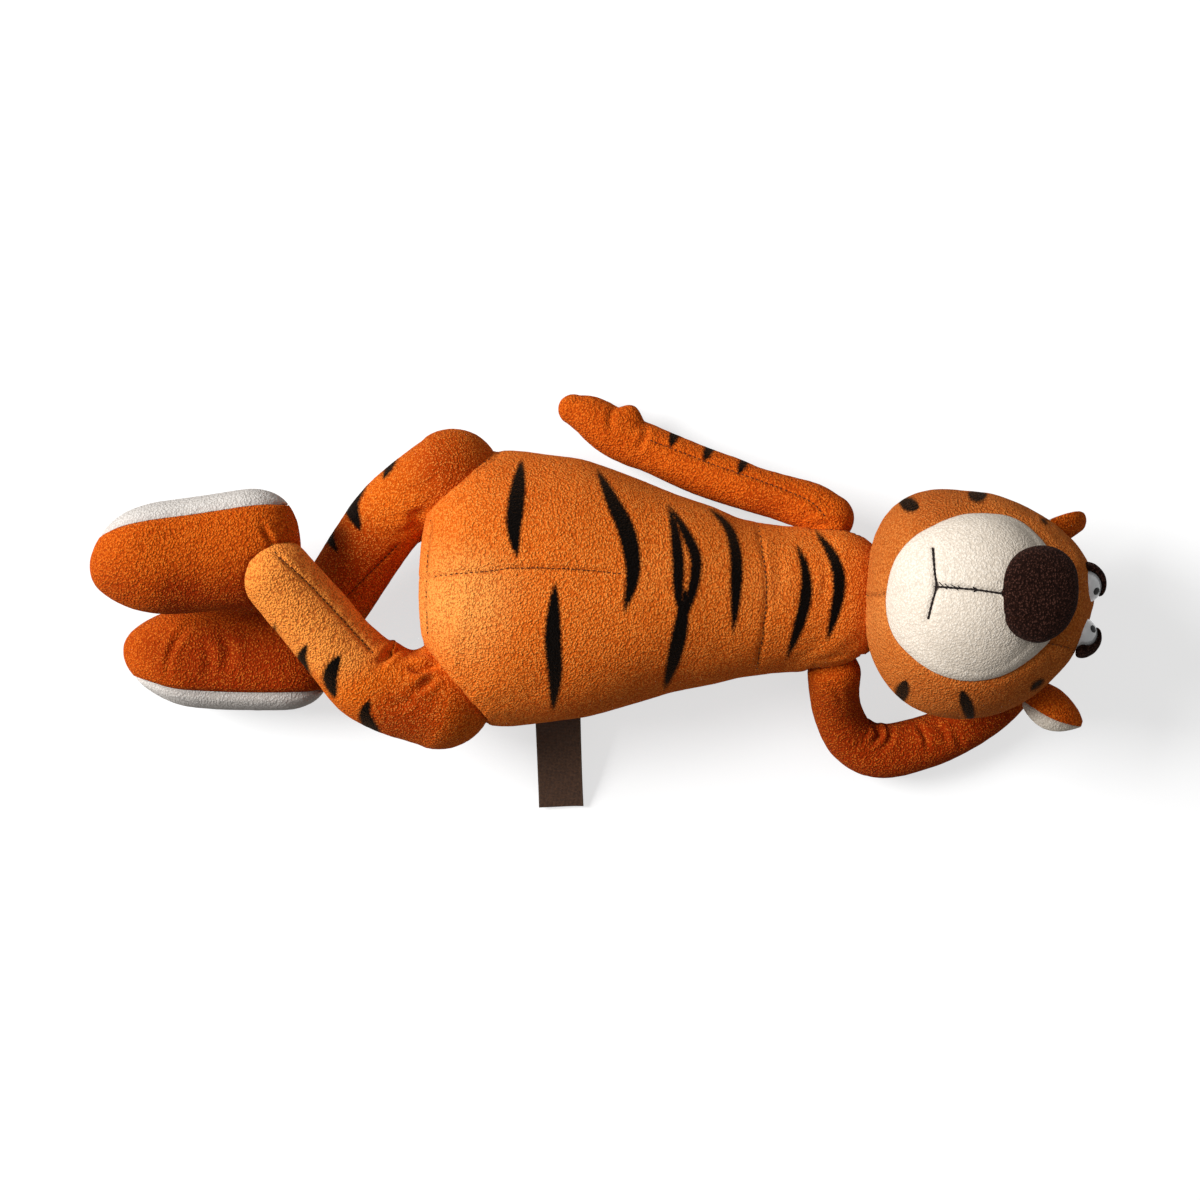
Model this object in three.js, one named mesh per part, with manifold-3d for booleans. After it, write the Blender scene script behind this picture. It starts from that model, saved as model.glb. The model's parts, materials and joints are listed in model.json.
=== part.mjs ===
// A stuffed tiger, lying on its back with its ankles crossed and one hand behind its head.
// Millimetres, +Z up. The origin is on the flat that its back rests on, +X runs to the crown
// of the head, and +Y is the toy's own right side. Each body that moves is a group whose own
// origin is the pivot of its seam, where a ball of stuffing turns in a dish of its neighbour.
import * as THREE from "three";
import { ConvexGeometry } from "three/addons/geometries/ConvexGeometry.js";
import { mergeVertices } from "three/addons/utils/BufferGeometryUtils.js";
import Module from "manifold-3d";

const wasm = await Module();
wasm.setup();

// Cloth, clearances and the floor
const clothWall = 2; // short-pile plush with its backing
const seamGap = 0.3; // room at every sewn seat
const pupilGap = 0.1; // room at the pressed fits of the eyes
const floorBite = 0.5; // depth that a form is pressed flat where it lies on the floor
const swingGap = 0.5; // room kept along the path of a piece that turns
const overrun = 20; // how far a cutting solid runs past what it cuts

// Torso: a pear from the rump to the neck, its sections standing across X
const torsoLength = 190;
const hipHalfWidth = 58.5;
const bellyHeight = 89;
const rumpShare = 0.516; // share of the length that lies behind the origin
const spineLean = 5.3; // sideways lean of the spine over the whole length
const torsoAlongShares = [0, 0.17, 0.32, 0.46, 0.65, 0.79, 0.88, 1];
const torsoWidthShares = [0.9, 1, 0.975, 0.88, 0.705, 0.6, 0.55, 0.5];
const torsoTopShares = [0.86, 0.97, 1, 0.975, 0.885, 0.8, 0.755, 0.68];
const torsoBackShares = [0.03, 0, 0, 0, 0, 0, 0.03, 0.12];
const torsoMidShare = 0.45; // height of the widest line within a section
const rumpRoundShare = 0.16;
const neckRoundShare = 0.14;
const torsoSquareness = { belly: 2.2, back: 2.9, ends: 2.5 };

// Neck: the ball of stuffing at the top of the torso
const neckRadius = 28;
const neckAlongShare = 0.958;
const neckHeight = 36;
const neckHoleRadius = 15; // opening of the torso cover, through which the stuffing joins

// Head: an egg from the chin to the crown
const headLength = 100.5;
const headHalfWidth = 50.5;
const faceHeight = 48; // from the middle of the head to the front of the muzzle
const headBackDepth = 42; // from the middle to the back of the head
const headWidestShare = 0.44; // along the length, from the chin
const chinOverlapShare = 0.45; // of the neck ball, between its centre and the chin
const headRoundness = { chin: 2.3, crown: 1.85 };
const headSide = -3.2; // the head lolls to the toy's left
const headTurn = THREE.MathUtils.degToRad(-6.5);
const headRoll = THREE.MathUtils.degToRad(-5);

// Muzzle, nose and eyes, placed by shares of the head
const muzzleLength = 72;
const muzzleWidth = 79;
const muzzleDepth = 32;
const muzzleAlongShare = -0.095;
const muzzleDeepShare = 0.44; // height of its centre, as a share of the face height
const noseLength = 30;
const noseWidth = 39;
const noseHeight = 25;
const noseAlongShare = 0.13;
const noseDeepShare = 0.95;
const eyeRadius = 9;
const eyeAlongShare = 0.408;
const eyeApart = 24.5;
const eyeDeepShare = 0.37;
const eyeStemRadius = 1.8;
const eyeStemLength = 17; // from the centre of the eye to the tip of its stem
const eyeStemLean = THREE.MathUtils.degToRad(35);
const washerRadius = 6;
const washerThickness = 1.6;
const pupilRadius = 2.2;
const gazeShare = { crown: 0.15, middle: 0.6, face: 0.78 };
const browThickness = 3;
const browSpan = THREE.MathUtils.degToRad(160);
const browInnerShare = 0.28; // of the span, on the side of the other eye
const browDrop = THREE.MathUtils.degToRad(62);
const browTipShare = 0.55; // height of the inner end, as a share of the outer

// Ears: two layers of cloth, folded lengthwise
const earLength = 27;
const earWidth = 20;
const earCup = THREE.MathUtils.degToRad(150); // angle that the cupped sheet goes round
const earRootShare = 0.2; // of half a wave, where the ear's outline starts
const earTipShare = 0.97;
const earFullness = 0.8;
const earLayer = 1.4;
const earAlongShare = 0.25;
const earDeepShare = -0.2;
const earAcrossShare = 0.75;
const earTilt = { right: THREE.MathUtils.degToRad(35), left: THREE.MathUtils.degToRad(5) };
const earSplay = THREE.MathUtils.degToRad(20);
const earSwing = [-15, 0, 15];

// Arms
const shoulderRadius = 12;
const shoulderAlongShare = 0.972;
const shoulderOutShare = 0.42; // of the ball, past the side of the torso
const shoulderHeight = 34;
const armRadius = 10.3;
const elbowRadius = 12.3;
const elbowNeckRadius = 8.9;
const handRadius = 11.3;
const handThickness = 20;
const fingerShare = 0.8; // size of the hand's tip, as a share of the hand
const thumbRadius = 6.6;
const thumbTipShare = 0.85;
const upperArmLength = 44;
const forearmLength = 88;
const armSpreadShare = 0.172; // how far the right arm has left the torso's side at its end
const handHeight = 11;
const armSwing = [-90, -60, -30, 0];
const elbowDropShare = 0.45; // of the way down from the shoulder to the hand
const restForearmShares = [0, 0.16, 0.35, 0.53, 0.69, 0.83]; // along the forearm
const restDropShares = [0, 0.28, 0.65, 1, 1, 1]; // from the elbow down to the hand
const restThumbShares = [1.9, 0.8, 0.9]; // of the thumb's radius
const bentElbowOut = 38.5;
const bentElbowAlong = 23.5;
const bentForearmShares = [0, 0.21, 0.42, 0.62, 0.75, 0.79];
const bentInShares = [0, 0.02, 0.1, 0.21, 0.36, 0.5]; // back towards the head
const bentRiseShares = [0, 0, 0, 0.25, 0.45, 0.5]; // of the hand's height
const bentThumbShares = [-1.4, 1.2, 0.3];

// Legs and feet
const hipRadius = 19.8;
const hipHeight = 39;
const rightHipAlongShare = 0.053;
const leftHipAlongShare = 0.018;
const hipInset = 10.3; // of the hip ball's centre from the side of the torso
const legRadius = 16.2;
const ankleRadius = 15.6;
const rightSwing = [-60, -40, -20, 0]; // steps of the leg's swing, outwards from the crossing
const leftSwing = [0, 20, 40, 60];
const rightLegReach = 98;
const leftLegReach = 83.5;
const rightLegTurn = THREE.MathUtils.degToRad(227.8);
const leftLegTurn = THREE.MathUtils.degToRad(141.2);
const legBowShare = 0.12;
const legAlongShares = [0, 0.3, 0.5, 0.72, 1];
const legBulgeShares = [0, 1, 0.9, 0.5, 0]; // of the bow
const footLength = 94;
const footHeight = 40.5; // from the sole's seam to the instep
const soleBulge = 8;
const footHalfWidth = 21;
const ankleFromHeel = 10.5;
const ankleFromSole = 26;
const footAlongShares = [0, 0.2, 0.5, 0.75, 1];
const footWidthShares = [0.84, 0.86, 0.88, 1, 0.96];
const footHeightShares = [0.95, 0.98, 0.97, 1, 0.94];
const footRoundShare = 0.26;
const footMidShare = 0.3; // height of the widest line above the sole's seam
const footSquareness = 2.3;
const footSwing = [-20, 0, 20];
const ankleRoom = 1.2; // room round the shank in the pocket of the foot
const ankleMouthShare = 0.6; // of the ankle, open where its filling joins the foot's
const leftFootTurn = THREE.MathUtils.degToRad(186);
const rightFootTurn = THREE.MathUtils.degToRad(180);

// Tail and label
const tailRadius = 6.6;
const tailRootRadius = 8;
const tailLength = 120;
const tailAlongShare = 0.062;
const tailRoom = 1.5; // sideways room of the hollow that the tail is pressed into
const tailBend = 24;
const tailAlongShares = [0, 0.35, 0.7];
const tailBendShares = [0, 0.6, 0.95, 1];
const labelWidth = 21;
const labelLength = 50;
const labelThickness = 1.5;
const labelRibbon = 0.6;
const labelAlongShare = 0.308;
const labelHeight = 20;
const labelTurn = THREE.MathUtils.degToRad(-2);

// Facets: rings along a form and sides round it
const fine = { sides: 20, rings: 12 };
const coarse = { sides: 12, rings: 7 };
const limb = { sides: 12, rings: 7, caps: 3 };
const limbFill = { sides: 8, rings: 5, caps: 2 };
const ballSides = 16;
const lessSides = 12;
const smallSides = 10;

const materials = {
  orange: new THREE.MeshStandardMaterial({ color: 0xcb5a17, roughness: 0.9, metalness: 0 }),
  deepOrange: new THREE.MeshStandardMaterial({ color: 0xb9480f, roughness: 0.9, metalness: 0 }),
  cream: new THREE.MeshStandardMaterial({ color: 0xe2dad0, roughness: 0.9, metalness: 0 }),
  brown: new THREE.MeshStandardMaterial({ color: 0x33190f, roughness: 0.9, metalness: 0 }),
  fibre: new THREE.MeshStandardMaterial({ color: 0xf2f0ea, roughness: 1, metalness: 0 }),
  eyeWhite: new THREE.MeshStandardMaterial({ color: 0xf4f4f2, roughness: 0.15, metalness: 0 }),
  black: new THREE.MeshStandardMaterial({ color: 0x101010, roughness: 0.2, metalness: 0 }),
  washer: new THREE.MeshStandardMaterial({ color: 0xd8d8d4, roughness: 0.5, metalness: 0 }),
  ribbon: new THREE.MeshStandardMaterial({ color: 0x3a2318, roughness: 0.7, metalness: 0 }),
};

const up = new THREE.Vector3(0, 0, 1);

// Helpers for forms

// A smooth function through values at rising shares, by Catmull-Rom in one dimension.
function through(shares, values) {
  return (share) => {
    const s = THREE.MathUtils.clamp(share, shares[0], shares.at(-1));
    const i = Math.min(shares.findLastIndex((at) => at <= s), shares.length - 2);
    const [before, from, to, after] = [-1, 0, 1, 2].map((k) =>
      THREE.MathUtils.clamp(i + k, 0, shares.length - 1),
    );
    const slope = (a, b) => (a === b ? 0 : (values[b] - values[a]) / (shares[b] - shares[a]));
    const span = shares[to] - shares[from];
    const t = (s - shares[from]) / span;
    const out = slope(before, to) * span;
    const into = slope(from, after) * span;
    const [t2, t3] = [t * t, t * t * t];
    return (
      (2 * t3 - 3 * t2 + 1) * values[from] +
      (t3 - 2 * t2 + t) * out +
      (3 * t2 - 2 * t3) * values[to] +
      (t3 - t2) * into
    );
  };
}

// The signed power that squares off a circle into a superellipse.
const squared = (value, squareness) => Math.sign(value) * Math.abs(value) ** (2 / squareness);

// How full a form is at a share of its length: 1 in the middle, rounding to 0 at both ends.
function fullness(share, startRound, endRound, squareness) {
  const lack = Math.max(1 - share / startRound, 1 - (1 - share) / endRound, 0);
  return Math.max(1 - lack ** squareness, 0) ** (1 / squareness);
}

// Shares along a form, closer together at its two ends.
const eased = (i, count) => (1 - Math.cos((Math.PI * i) / count)) / 2;

const middleOf = (ring) =>
  ring.reduce((sum, point) => sum.add(point), new THREE.Vector3()).divideScalar(ring.length);

// A closed surface through rings of points; a ring of one point is a pole.
function closedSkin(rings) {
  const points = rings.flat();
  const starts = rings.map((ring, i) => rings.slice(0, i).flat().length);
  const sides = Math.max(...rings.map((ring) => ring.length));
  const at = (i, k) => starts[i] + (rings[i].length > 1 ? k % sides : 0);
  const triangles = [];
  for (let i = 0; i + 1 < rings.length; i++) {
    for (let k = 0; k < sides; k++) {
      const [a, b, c, d] = [at(i, k), at(i, k + 1), at(i + 1, k), at(i + 1, k + 1)];
      if (a !== b) triangles.push(a, b, c);
      if (c !== d) triangles.push(b, d, c);
    }
  }
  return new THREE.BufferGeometry().setFromPoints(points).setIndex(triangles);
}

// A three.js geometry as a solid that can be cut and joined.
function solidOf(geometry) {
  const bare = geometry.clone().deleteAttribute("normal").deleteAttribute("uv");
  const merged = mergeVertices(bare);
  return new wasm.Manifold(
    new wasm.Mesh({
      numProp: 3,
      vertProperties: new Float32Array(merged.attributes.position.array),
      triVerts: new Uint32Array(merged.index.array),
    }),
  );
}

const place = (solid, matrix) => solid.transform(matrix.elements);
const shift = (solid, vector) => solid.translate(vector.toArray());

// The matrix that turns about an axis through a pivot.
function turnAbout(pivot, axis, degrees) {
  const there = new THREE.Matrix4().makeTranslation(...pivot.toArray());
  const back = new THREE.Matrix4().makeTranslation(...pivot.clone().negate().toArray());
  const angle = THREE.MathUtils.degToRad(degrees);
  return there.multiply(new THREE.Matrix4().makeRotationAxis(axis, angle)).multiply(back);
}

// A ball round a point, or an ellipsoid when given three radii.
function ball(centre, radius, sides = ballSides, turn = 0) {
  const shape = new THREE.SphereGeometry(1, sides, sides / 2).rotateY(turn);
  shape.scale(...(radius.isVector3 ? radius : new THREE.Vector3(radius, radius, radius)).toArray());
  return shift(solidOf(shape), centre);
}

// The dish that a ball turns in: its flats clear the ball by the seam's gap, and stand half a
// facet round from the ball's own.
const dish = (centre, radius, sides = ballSides) =>
  ball(centre, (radius + seamGap) / Math.cos(Math.PI / sides) ** 2, sides, Math.PI / sides);

// A box from one corner to the other.
function slab(low, high) {
  const size = high.clone().sub(low);
  const shape = new THREE.BoxGeometry(size.x, size.y, size.z);
  return shift(solidOf(shape), low.clone().add(high).multiplyScalar(0.5));
}

// A solid's mesh, named and coloured.
function meshOf(name, solid, material) {
  const { numProp, numVert, vertProperties, triVerts } = solid.getMesh();
  const places = new Float32Array(numVert * 3);
  for (let i = 0; i < numVert; i++) {
    places.set(vertProperties.subarray(i * numProp, i * numProp + 3), i * 3);
  }
  const geometry = new THREE.BufferGeometry();
  geometry.setAttribute("position", new THREE.BufferAttribute(places, 3));
  geometry.setIndex(new THREE.BufferAttribute(triVerts, 1));
  geometry.computeVertexNormals();
  const mesh = new THREE.Mesh(geometry, material);
  mesh.name = name;
  return mesh;
}

// The largest piece of a solid, without the slivers that a cut leaves beside it.
const largest = (solid) =>
  solid.decompose().reduce((a, b) => (b.volume() > a.volume() ? b : a));

// A limb: rings across a smooth path, with round ends. Radii are pairs, across and upright.
function limbForm(points, radii, { sides, rings, caps }, grow = 0) {
  const path = new THREE.CatmullRomCurve3(points, false, "centripetal");
  const size = new THREE.CatmullRomCurve3(radii.map(([a, u]) => new THREE.Vector3(a, u, 0)));
  const ring = (t, along, share) => {
    const tangent = path.getTangent(t);
    const side = up.clone().cross(tangent).normalize();
    const lift = tangent.clone().cross(side);
    const radius = size.getPoint(t).addScalar(grow);
    const reach = Math.min(radius.x, radius.y);
    const centre = path.getPoint(t).addScaledVector(tangent, along * reach);
    if (share === 0) return [centre];
    return Array.from({ length: sides }, (_, k) => {
      const angle = (2 * Math.PI * k) / sides;
      return centre
        .clone()
        .addScaledVector(side, Math.cos(angle) * radius.x * share)
        .addScaledVector(lift, Math.sin(angle) * radius.y * share);
    });
  };
  const cap = (t, way) =>
    Array.from({ length: caps }, (_, k) => {
      const angle = ((Math.PI / 2) * k) / caps;
      return ring(t, way * Math.cos(angle), Math.sin(angle));
    });
  const middle = Array.from({ length: rings + 1 }, (_, i) => ring(i / rings, 0, 1));
  return solidOf(closedSkin([...cap(0, -1), ...middle, ...cap(1, 1).reverse()]));
}

// Torso

const rumpX = -torsoLength * rumpShare;
const torsoX = (share) => rumpX + share * torsoLength;
const torsoShare = (x) => (x - rumpX) / torsoLength;
const spineAt = (x) => (-spineLean * x) / torsoLength;
const torsoWidthAt = through(torsoAlongShares, torsoWidthShares);
const torsoTopAt = through(torsoAlongShares, torsoTopShares);
const torsoBackAt = through(torsoAlongShares, torsoBackShares);
const halfWidthAt = (x) => hipHalfWidth * torsoWidthAt(torsoShare(x));

// Half the torso's width at a height below its widest line.
function halfWidthLow(x, height) {
  const share = torsoShare(x);
  const middle = bellyHeight * torsoTopAt(share) * torsoMidShare;
  const lack = (1 - height / middle) ** torsoSquareness.back;
  return halfWidthAt(x) * (1 - lack) ** (1 / torsoSquareness.back);
}

// The torso's outer form, or that form set in or out by an even distance.
function torsoForm(grow, { sides, rings }) {
  const { belly, back, ends } = torsoSquareness;
  const skin = [];
  for (let i = 0; i <= rings; i++) {
    const share = eased(i, rings);
    const full = fullness(share, rumpRoundShare, neckRoundShare, ends);
    const x = torsoX(share) + grow * (2 * share - 1);
    const top = bellyHeight * torsoTopAt(share);
    const bottom = bellyHeight * torsoBackAt(share) - floorBite;
    const middle = bottom + (top - bottom) * torsoMidShare;
    if (full === 0) {
      skin.push([new THREE.Vector3(x, spineAt(x), middle)]);
      continue;
    }
    const ring = [];
    for (let k = 0; k < sides; k++) {
      const angle = (2 * Math.PI * k) / sides;
      const squareness = Math.sin(angle) > 0 ? belly : back;
      const reach = Math.sin(angle) > 0 ? top - middle : middle - bottom;
      const across = (hipHalfWidth * torsoWidthAt(share) + grow) * full;
      ring.push(
        new THREE.Vector3(
          x,
          spineAt(x) + across * squared(Math.cos(angle), squareness),
          middle + (reach + grow) * full * squared(Math.sin(angle), squareness),
        ),
      );
    }
    skin.push(ring);
  }
  return solidOf(closedSkin(skin));
}

// Pivots of the seams, in the part's frame
const neckPivot = new THREE.Vector3(
  torsoX(neckAlongShare),
  spineAt(torsoX(neckAlongShare)),
  neckHeight,
);
const atSide = (x, out, z, way) => new THREE.Vector3(x, spineAt(x) + way * out, z);
const shoulderX = torsoX(shoulderAlongShare);
const shoulderOut = halfWidthAt(shoulderX) + shoulderRadius * shoulderOutShare;
const rightShoulder = atSide(shoulderX, shoulderOut, shoulderHeight, 1);
const leftShoulder = atSide(shoulderX, shoulderOut, shoulderHeight, -1);
const hipOut = hipHalfWidth - hipInset;
const rightHip = atSide(torsoX(rightHipAlongShare), hipOut, hipHeight, 1);
const leftHip = atSide(torsoX(leftHipAlongShare), hipOut, hipHeight, -1);
const tailRoot = new THREE.Vector3(
  torsoX(tailAlongShare),
  spineAt(torsoX(tailAlongShare)),
  tailRootRadius + seamGap,
);

// Tail, told from its root
const tailPoints = [...tailAlongShares.map((share) => share * tailLength), tailLength - tailRadius].map(
  (along, i) =>
    new THREE.Vector3(along, -tailBend * tailBendShares[i], i === 0 ? 0 : tailRadius - tailRootRadius),
);
const tailRadii = (room) =>
  [tailRootRadius, tailRadius, tailRadius, tailRadius].map((r) => [r + room, r]);
const tailForm = (grow, facets, room = 0) =>
  limbForm(tailPoints, tailRadii(room), facets, grow);

// The hollow in the back that the tail lies in, open downwards so that the tail can leave it.
function tailHollow(room) {
  const corners = [];
  const clear = 1 / Math.cos(Math.PI / smallSides); // so that the flats clear the round tail
  for (const [i, radii] of tailRadii(tailRoom).entries()) {
    const [across, deep] = radii.map((radius) => (radius + room) * clear);
    for (const { x, y } of new THREE.EllipseCurve(0, 0, across, deep).getPoints(smallSides)) {
      const along = tailPoints[i].x + (i === 0 ? -1 : 1) * (i % 3 === 0 ? across : 0);
      const at = new THREE.Vector3(along, tailPoints[i].y + x, tailPoints[i].z + y);
      corners.push(at, at.clone().setZ(-2 * tailRootRadius));
    }
  }
  return shift(solidOf(new ConvexGeometry(corners)), tailRoot);
}

const belowFloor = slab(
  new THREE.Vector3(rumpX - overrun, -hipHalfWidth - overrun, -overrun),
  new THREE.Vector3(rumpX + torsoLength + overrun, hipHalfWidth + overrun, 0),
);
const seats = [
  [rightShoulder, shoulderRadius],
  [leftShoulder, shoulderRadius],
  [rightHip, hipRadius],
  [leftHip, hipRadius],
  [tailRoot, tailRootRadius],
].map(([centre, radius]) => dish(centre, radius, radius < hipRadius ? lessSides : ballSides));

function buildTorso() {
  const group = new THREE.Group();
  const body = (grow, facets) => torsoForm(grow, facets).add(ball(neckPivot, neckRadius + grow));
  const outer = body(0, fine).subtract(tailHollow(seamGap));
  const inner = body(-clothWall, coarse).subtract(tailHollow(seamGap + clothWall));
  const neckHole = new THREE.CylinderGeometry(neckHoleRadius, neckHoleRadius, 2 * overrun, smallSides);
  neckHole.rotateZ(Math.PI / 2);
  neckHole.translate(neckPivot.x + neckRadius, neckPivot.y, neckPivot.z);
  let cover = outer.subtract(inner).subtract(solidOf(neckHole)).subtract(belowFloor);
  let stuffing = body(-clothWall - seamGap, coarse);
  stuffing = stuffing.subtract(tailHollow(2 * seamGap + clothWall));
  for (const seat of seats) {
    cover = cover.subtract(seat);
    stuffing = stuffing.subtract(seat);
  }
  group.add(
    meshOf("torso_cover", largest(cover), materials.orange),
    meshOf("torso_stuffing", largest(stuffing), materials.fibre),
  );
  return group;
}

const fromPivot = (solid, pivot) => shift(solid, pivot.clone().negate());

// A neighbour as a limb meets it while the limb turns: its copies at steps through the swing.
const roomToSwing = (neighbour, axis, angles) =>
  wasm.Manifold.union(
    angles.map((degrees) => place(neighbour, turnAbout(new THREE.Vector3(), axis, -degrees))),
  );

// The torso's room in a limb's own frame, through the limb's swing, all but what the dish leaves.
const torsoRoom = (pivot, radius, angles) =>
  roomToSwing(fromPivot(torsoForm(swingGap, fine), pivot), up, angles).subtract(
    ball(new THREE.Vector3(), radius + seamGap),
  );

// A stuffed limb: cuts go through cover and stuffing, and a mouth opens the cover alone.
function stuffedLimb(name, form, { cuts, mouths, colour }) {
  let shell = form(0, limb).subtract(form(-clothWall, limbFill));
  let stuffing = form(-clothWall - seamGap, limbFill);
  for (const cut of [...cuts, ...mouths]) shell = shell.subtract(cut);
  for (const cut of cuts) stuffing = stuffing.subtract(cut);
  return [
    meshOf(`${name}_cover`, largest(shell), colour),
    meshOf(`${name}_stuffing`, largest(stuffing), materials.fibre),
  ];
}

// Head

const headCentre = new THREE.Vector3(
  neckRadius * chinOverlapShare + headLength / 2,
  headSide,
  handThickness + headBackDepth - neckHeight,
);
const headX = (share) => (share - 0.5) * headLength;

// The head's outer form about its own middle, set in or out by an even distance.
function headForm(grow, { sides, rings }) {
  const widest = headX(headWidestShare);
  const skin = [];
  for (let i = 0; i <= rings; i++) {
    const share = eased(i, rings);
    const x = headX(share) + grow * (2 * share - 1);
    const reach = share < headWidestShare ? headWidestShare : 1 - headWidestShare;
    const off = Math.abs(headX(share) - widest) / (reach * headLength);
    const roundness = share < headWidestShare ? headRoundness.chin : headRoundness.crown;
    const full = Math.max(1 - off ** roundness, 0) ** (1 / roundness);
    if (i === 0 || i === rings) {
      skin.push([new THREE.Vector3(x, 0, 0)]);
      continue;
    }
    const ring = [];
    for (let k = 0; k < sides; k++) {
      const angle = (2 * Math.PI * k) / sides;
      const deep = Math.sin(angle) > 0 ? faceHeight : headBackDepth;
      ring.push(
        new THREE.Vector3(
          x,
          (headHalfWidth + grow) * full * Math.cos(angle),
          (deep + grow) * full * Math.sin(angle),
        ),
      );
    }
    skin.push(ring);
  }
  return solidOf(closedSkin(skin));
}

const muzzleCentre = new THREE.Vector3(
  headLength * muzzleAlongShare,
  0,
  faceHeight * muzzleDeepShare,
);
const muzzleForm = (grow) =>
  ball(
    muzzleCentre,
    new THREE.Vector3(muzzleLength / 2, muzzleWidth / 2, muzzleDepth).addScalar(grow),
  );
const noseCentre = new THREE.Vector3(
  headLength * noseAlongShare,
  0,
  faceHeight * noseDeepShare,
);
const noseForm = (grow) =>
  ball(
    noseCentre,
    new THREE.Vector3(noseLength, noseWidth, noseHeight).multiplyScalar(0.5).addScalar(grow),
  );
const eyeCentre = (way) =>
  new THREE.Vector3(headLength * eyeAlongShare, (way * eyeApart) / 2, faceHeight * eyeDeepShare);

// A round rod or disc along the eye's stem, from one distance behind the eye to another.
function alongStem(way, radius, from, to) {
  const shape = new THREE.CylinderGeometry(radius, radius, to - from, smallSides);
  shape.translate(0, -(from + to) / 2, 0);
  shape.rotateX(Math.PI / 2);
  shape.rotateY(eyeStemLean);
  return shift(solidOf(shape), eyeCentre(way));
}

const washerFrom = eyeRadius + clothWall + 3 * seamGap;

function buildEye(side, way) {
  const centre = eyeCentre(way);
  const { crown, middle, face } = gazeShare;
  const gaze = new THREE.Vector3(crown, -way * middle, face).normalize();
  const pupilAt = centre.clone().addScaledVector(gaze, eyeRadius);
  const white = ball(centre, eyeRadius)
    .add(alongStem(way, eyeStemRadius, 0, eyeStemLength))
    .subtract(ball(pupilAt, pupilRadius + pupilGap, smallSides));
  const pupil = ball(centre, eyeRadius).intersect(ball(pupilAt, pupilRadius, smallSides));
  const washerTo = washerFrom + washerThickness;
  const washer = alongStem(way, washerRadius, washerFrom, washerTo).subtract(
    alongStem(way, eyeStemRadius + pupilGap, 0, eyeStemLength + overrun),
  );
  return [
    meshOf(`${side}_eye`, white, materials.eyeWhite),
    meshOf(`${side}_pupil`, pupil, materials.black),
    meshOf(`${side}_eye_washer`, washer, materials.washer),
    meshOf(`${side}_brow`, browForm(way), materials.brown),
  ];
}

// A brow: a thick band of cloth round the crown side of the eye, wider towards its outer end.
function browForm(way) {
  const [slices, corners] = [8, 4];
  const inner = eyeRadius + seamGap;
  const rings = [];
  for (let i = 0; i <= slices; i++) {
    const share = i / slices;
    const turn = (share - browInnerShare) * browSpan * way;
    const half = (browDrop / 2) * (browTipShare + (1 - browTipShare) * share);
    const ring = Array.from({ length: corners }, (_, k) => {
      const radius = k === 0 || k === corners - 1 ? inner : inner + browThickness;
      const tilt = k < corners / 2 ? half : -half;
      return new THREE.Vector3(
        Math.cos(turn) * Math.cos(tilt) * radius,
        Math.sin(turn) * Math.cos(tilt) * radius,
        Math.sin(tilt) * radius,
      );
    });
    rings.push(way > 0 ? ring : ring.reverse());
  }
  const solid = solidOf(closedSkin([[middleOf(rings[0])], ...rings, [middleOf(rings.at(-1))]]));
  return shift(solid, eyeCentre(way))
    .subtract(ball(eyeCentre(way), eyeRadius + seamGap))
    .subtract(headForm(seamGap, fine));
}

// An ear's layer of cloth: a cupped leaf from root to tip, its hollow open to the side.
function earForm(way, inner, outer) {
  const [slices, steps] = [6, 5];
  const rings = [];
  for (let i = 0; i <= slices; i++) {
    const share = i / slices;
    const bulge = Math.sin(Math.PI * THREE.MathUtils.lerp(earRootShare, earTipShare, share));
    const spread = (earWidth / 2) * bulge ** earFullness;
    const arc = (radius, turn) =>
      new THREE.Vector3(
        earLength * share,
        way * (spread * Math.cos(earCup / 2) - radius * Math.cos(turn)),
        radius * Math.sin(turn),
      );
    const turns = Array.from({ length: steps + 1 }, (_, k) => (k / steps - 0.5) * earCup);
    const ring = [
      ...turns.map((turn) => arc(spread + outer, turn)),
      ...turns.reverse().map((turn) => arc(spread + inner, turn)),
    ];
    rings.push(way > 0 ? ring.reverse() : ring);
  }
  return solidOf(closedSkin([[middleOf(rings[0])], ...rings, [middleOf(rings.at(-1))]]));
}

function buildEar(side, way) {
  const ear = new THREE.Group();
  const across = headHalfWidth * earAcrossShare * way;
  ear.position.set(headLength * earAlongShare, across, headBackDepth * earDeepShare);
  ear.rotation.set(0, earTilt[side], way * earSplay, "ZYX");
  ear.updateMatrix();
  const head = place(headForm(seamGap, fine), ear.matrix.clone().invert());
  const room = roomToSwing(head, up, earSwing);
  const back = earForm(way, 0, earLayer).subtract(room);
  const lining = earForm(way, -earLayer - seamGap, -seamGap).subtract(room);
  ear.add(
    meshOf(`${side}_ear_back`, largest(back), materials.deepOrange),
    meshOf(`${side}_ear_lining`, largest(lining), materials.cream),
  );
  return ear;
}

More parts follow.
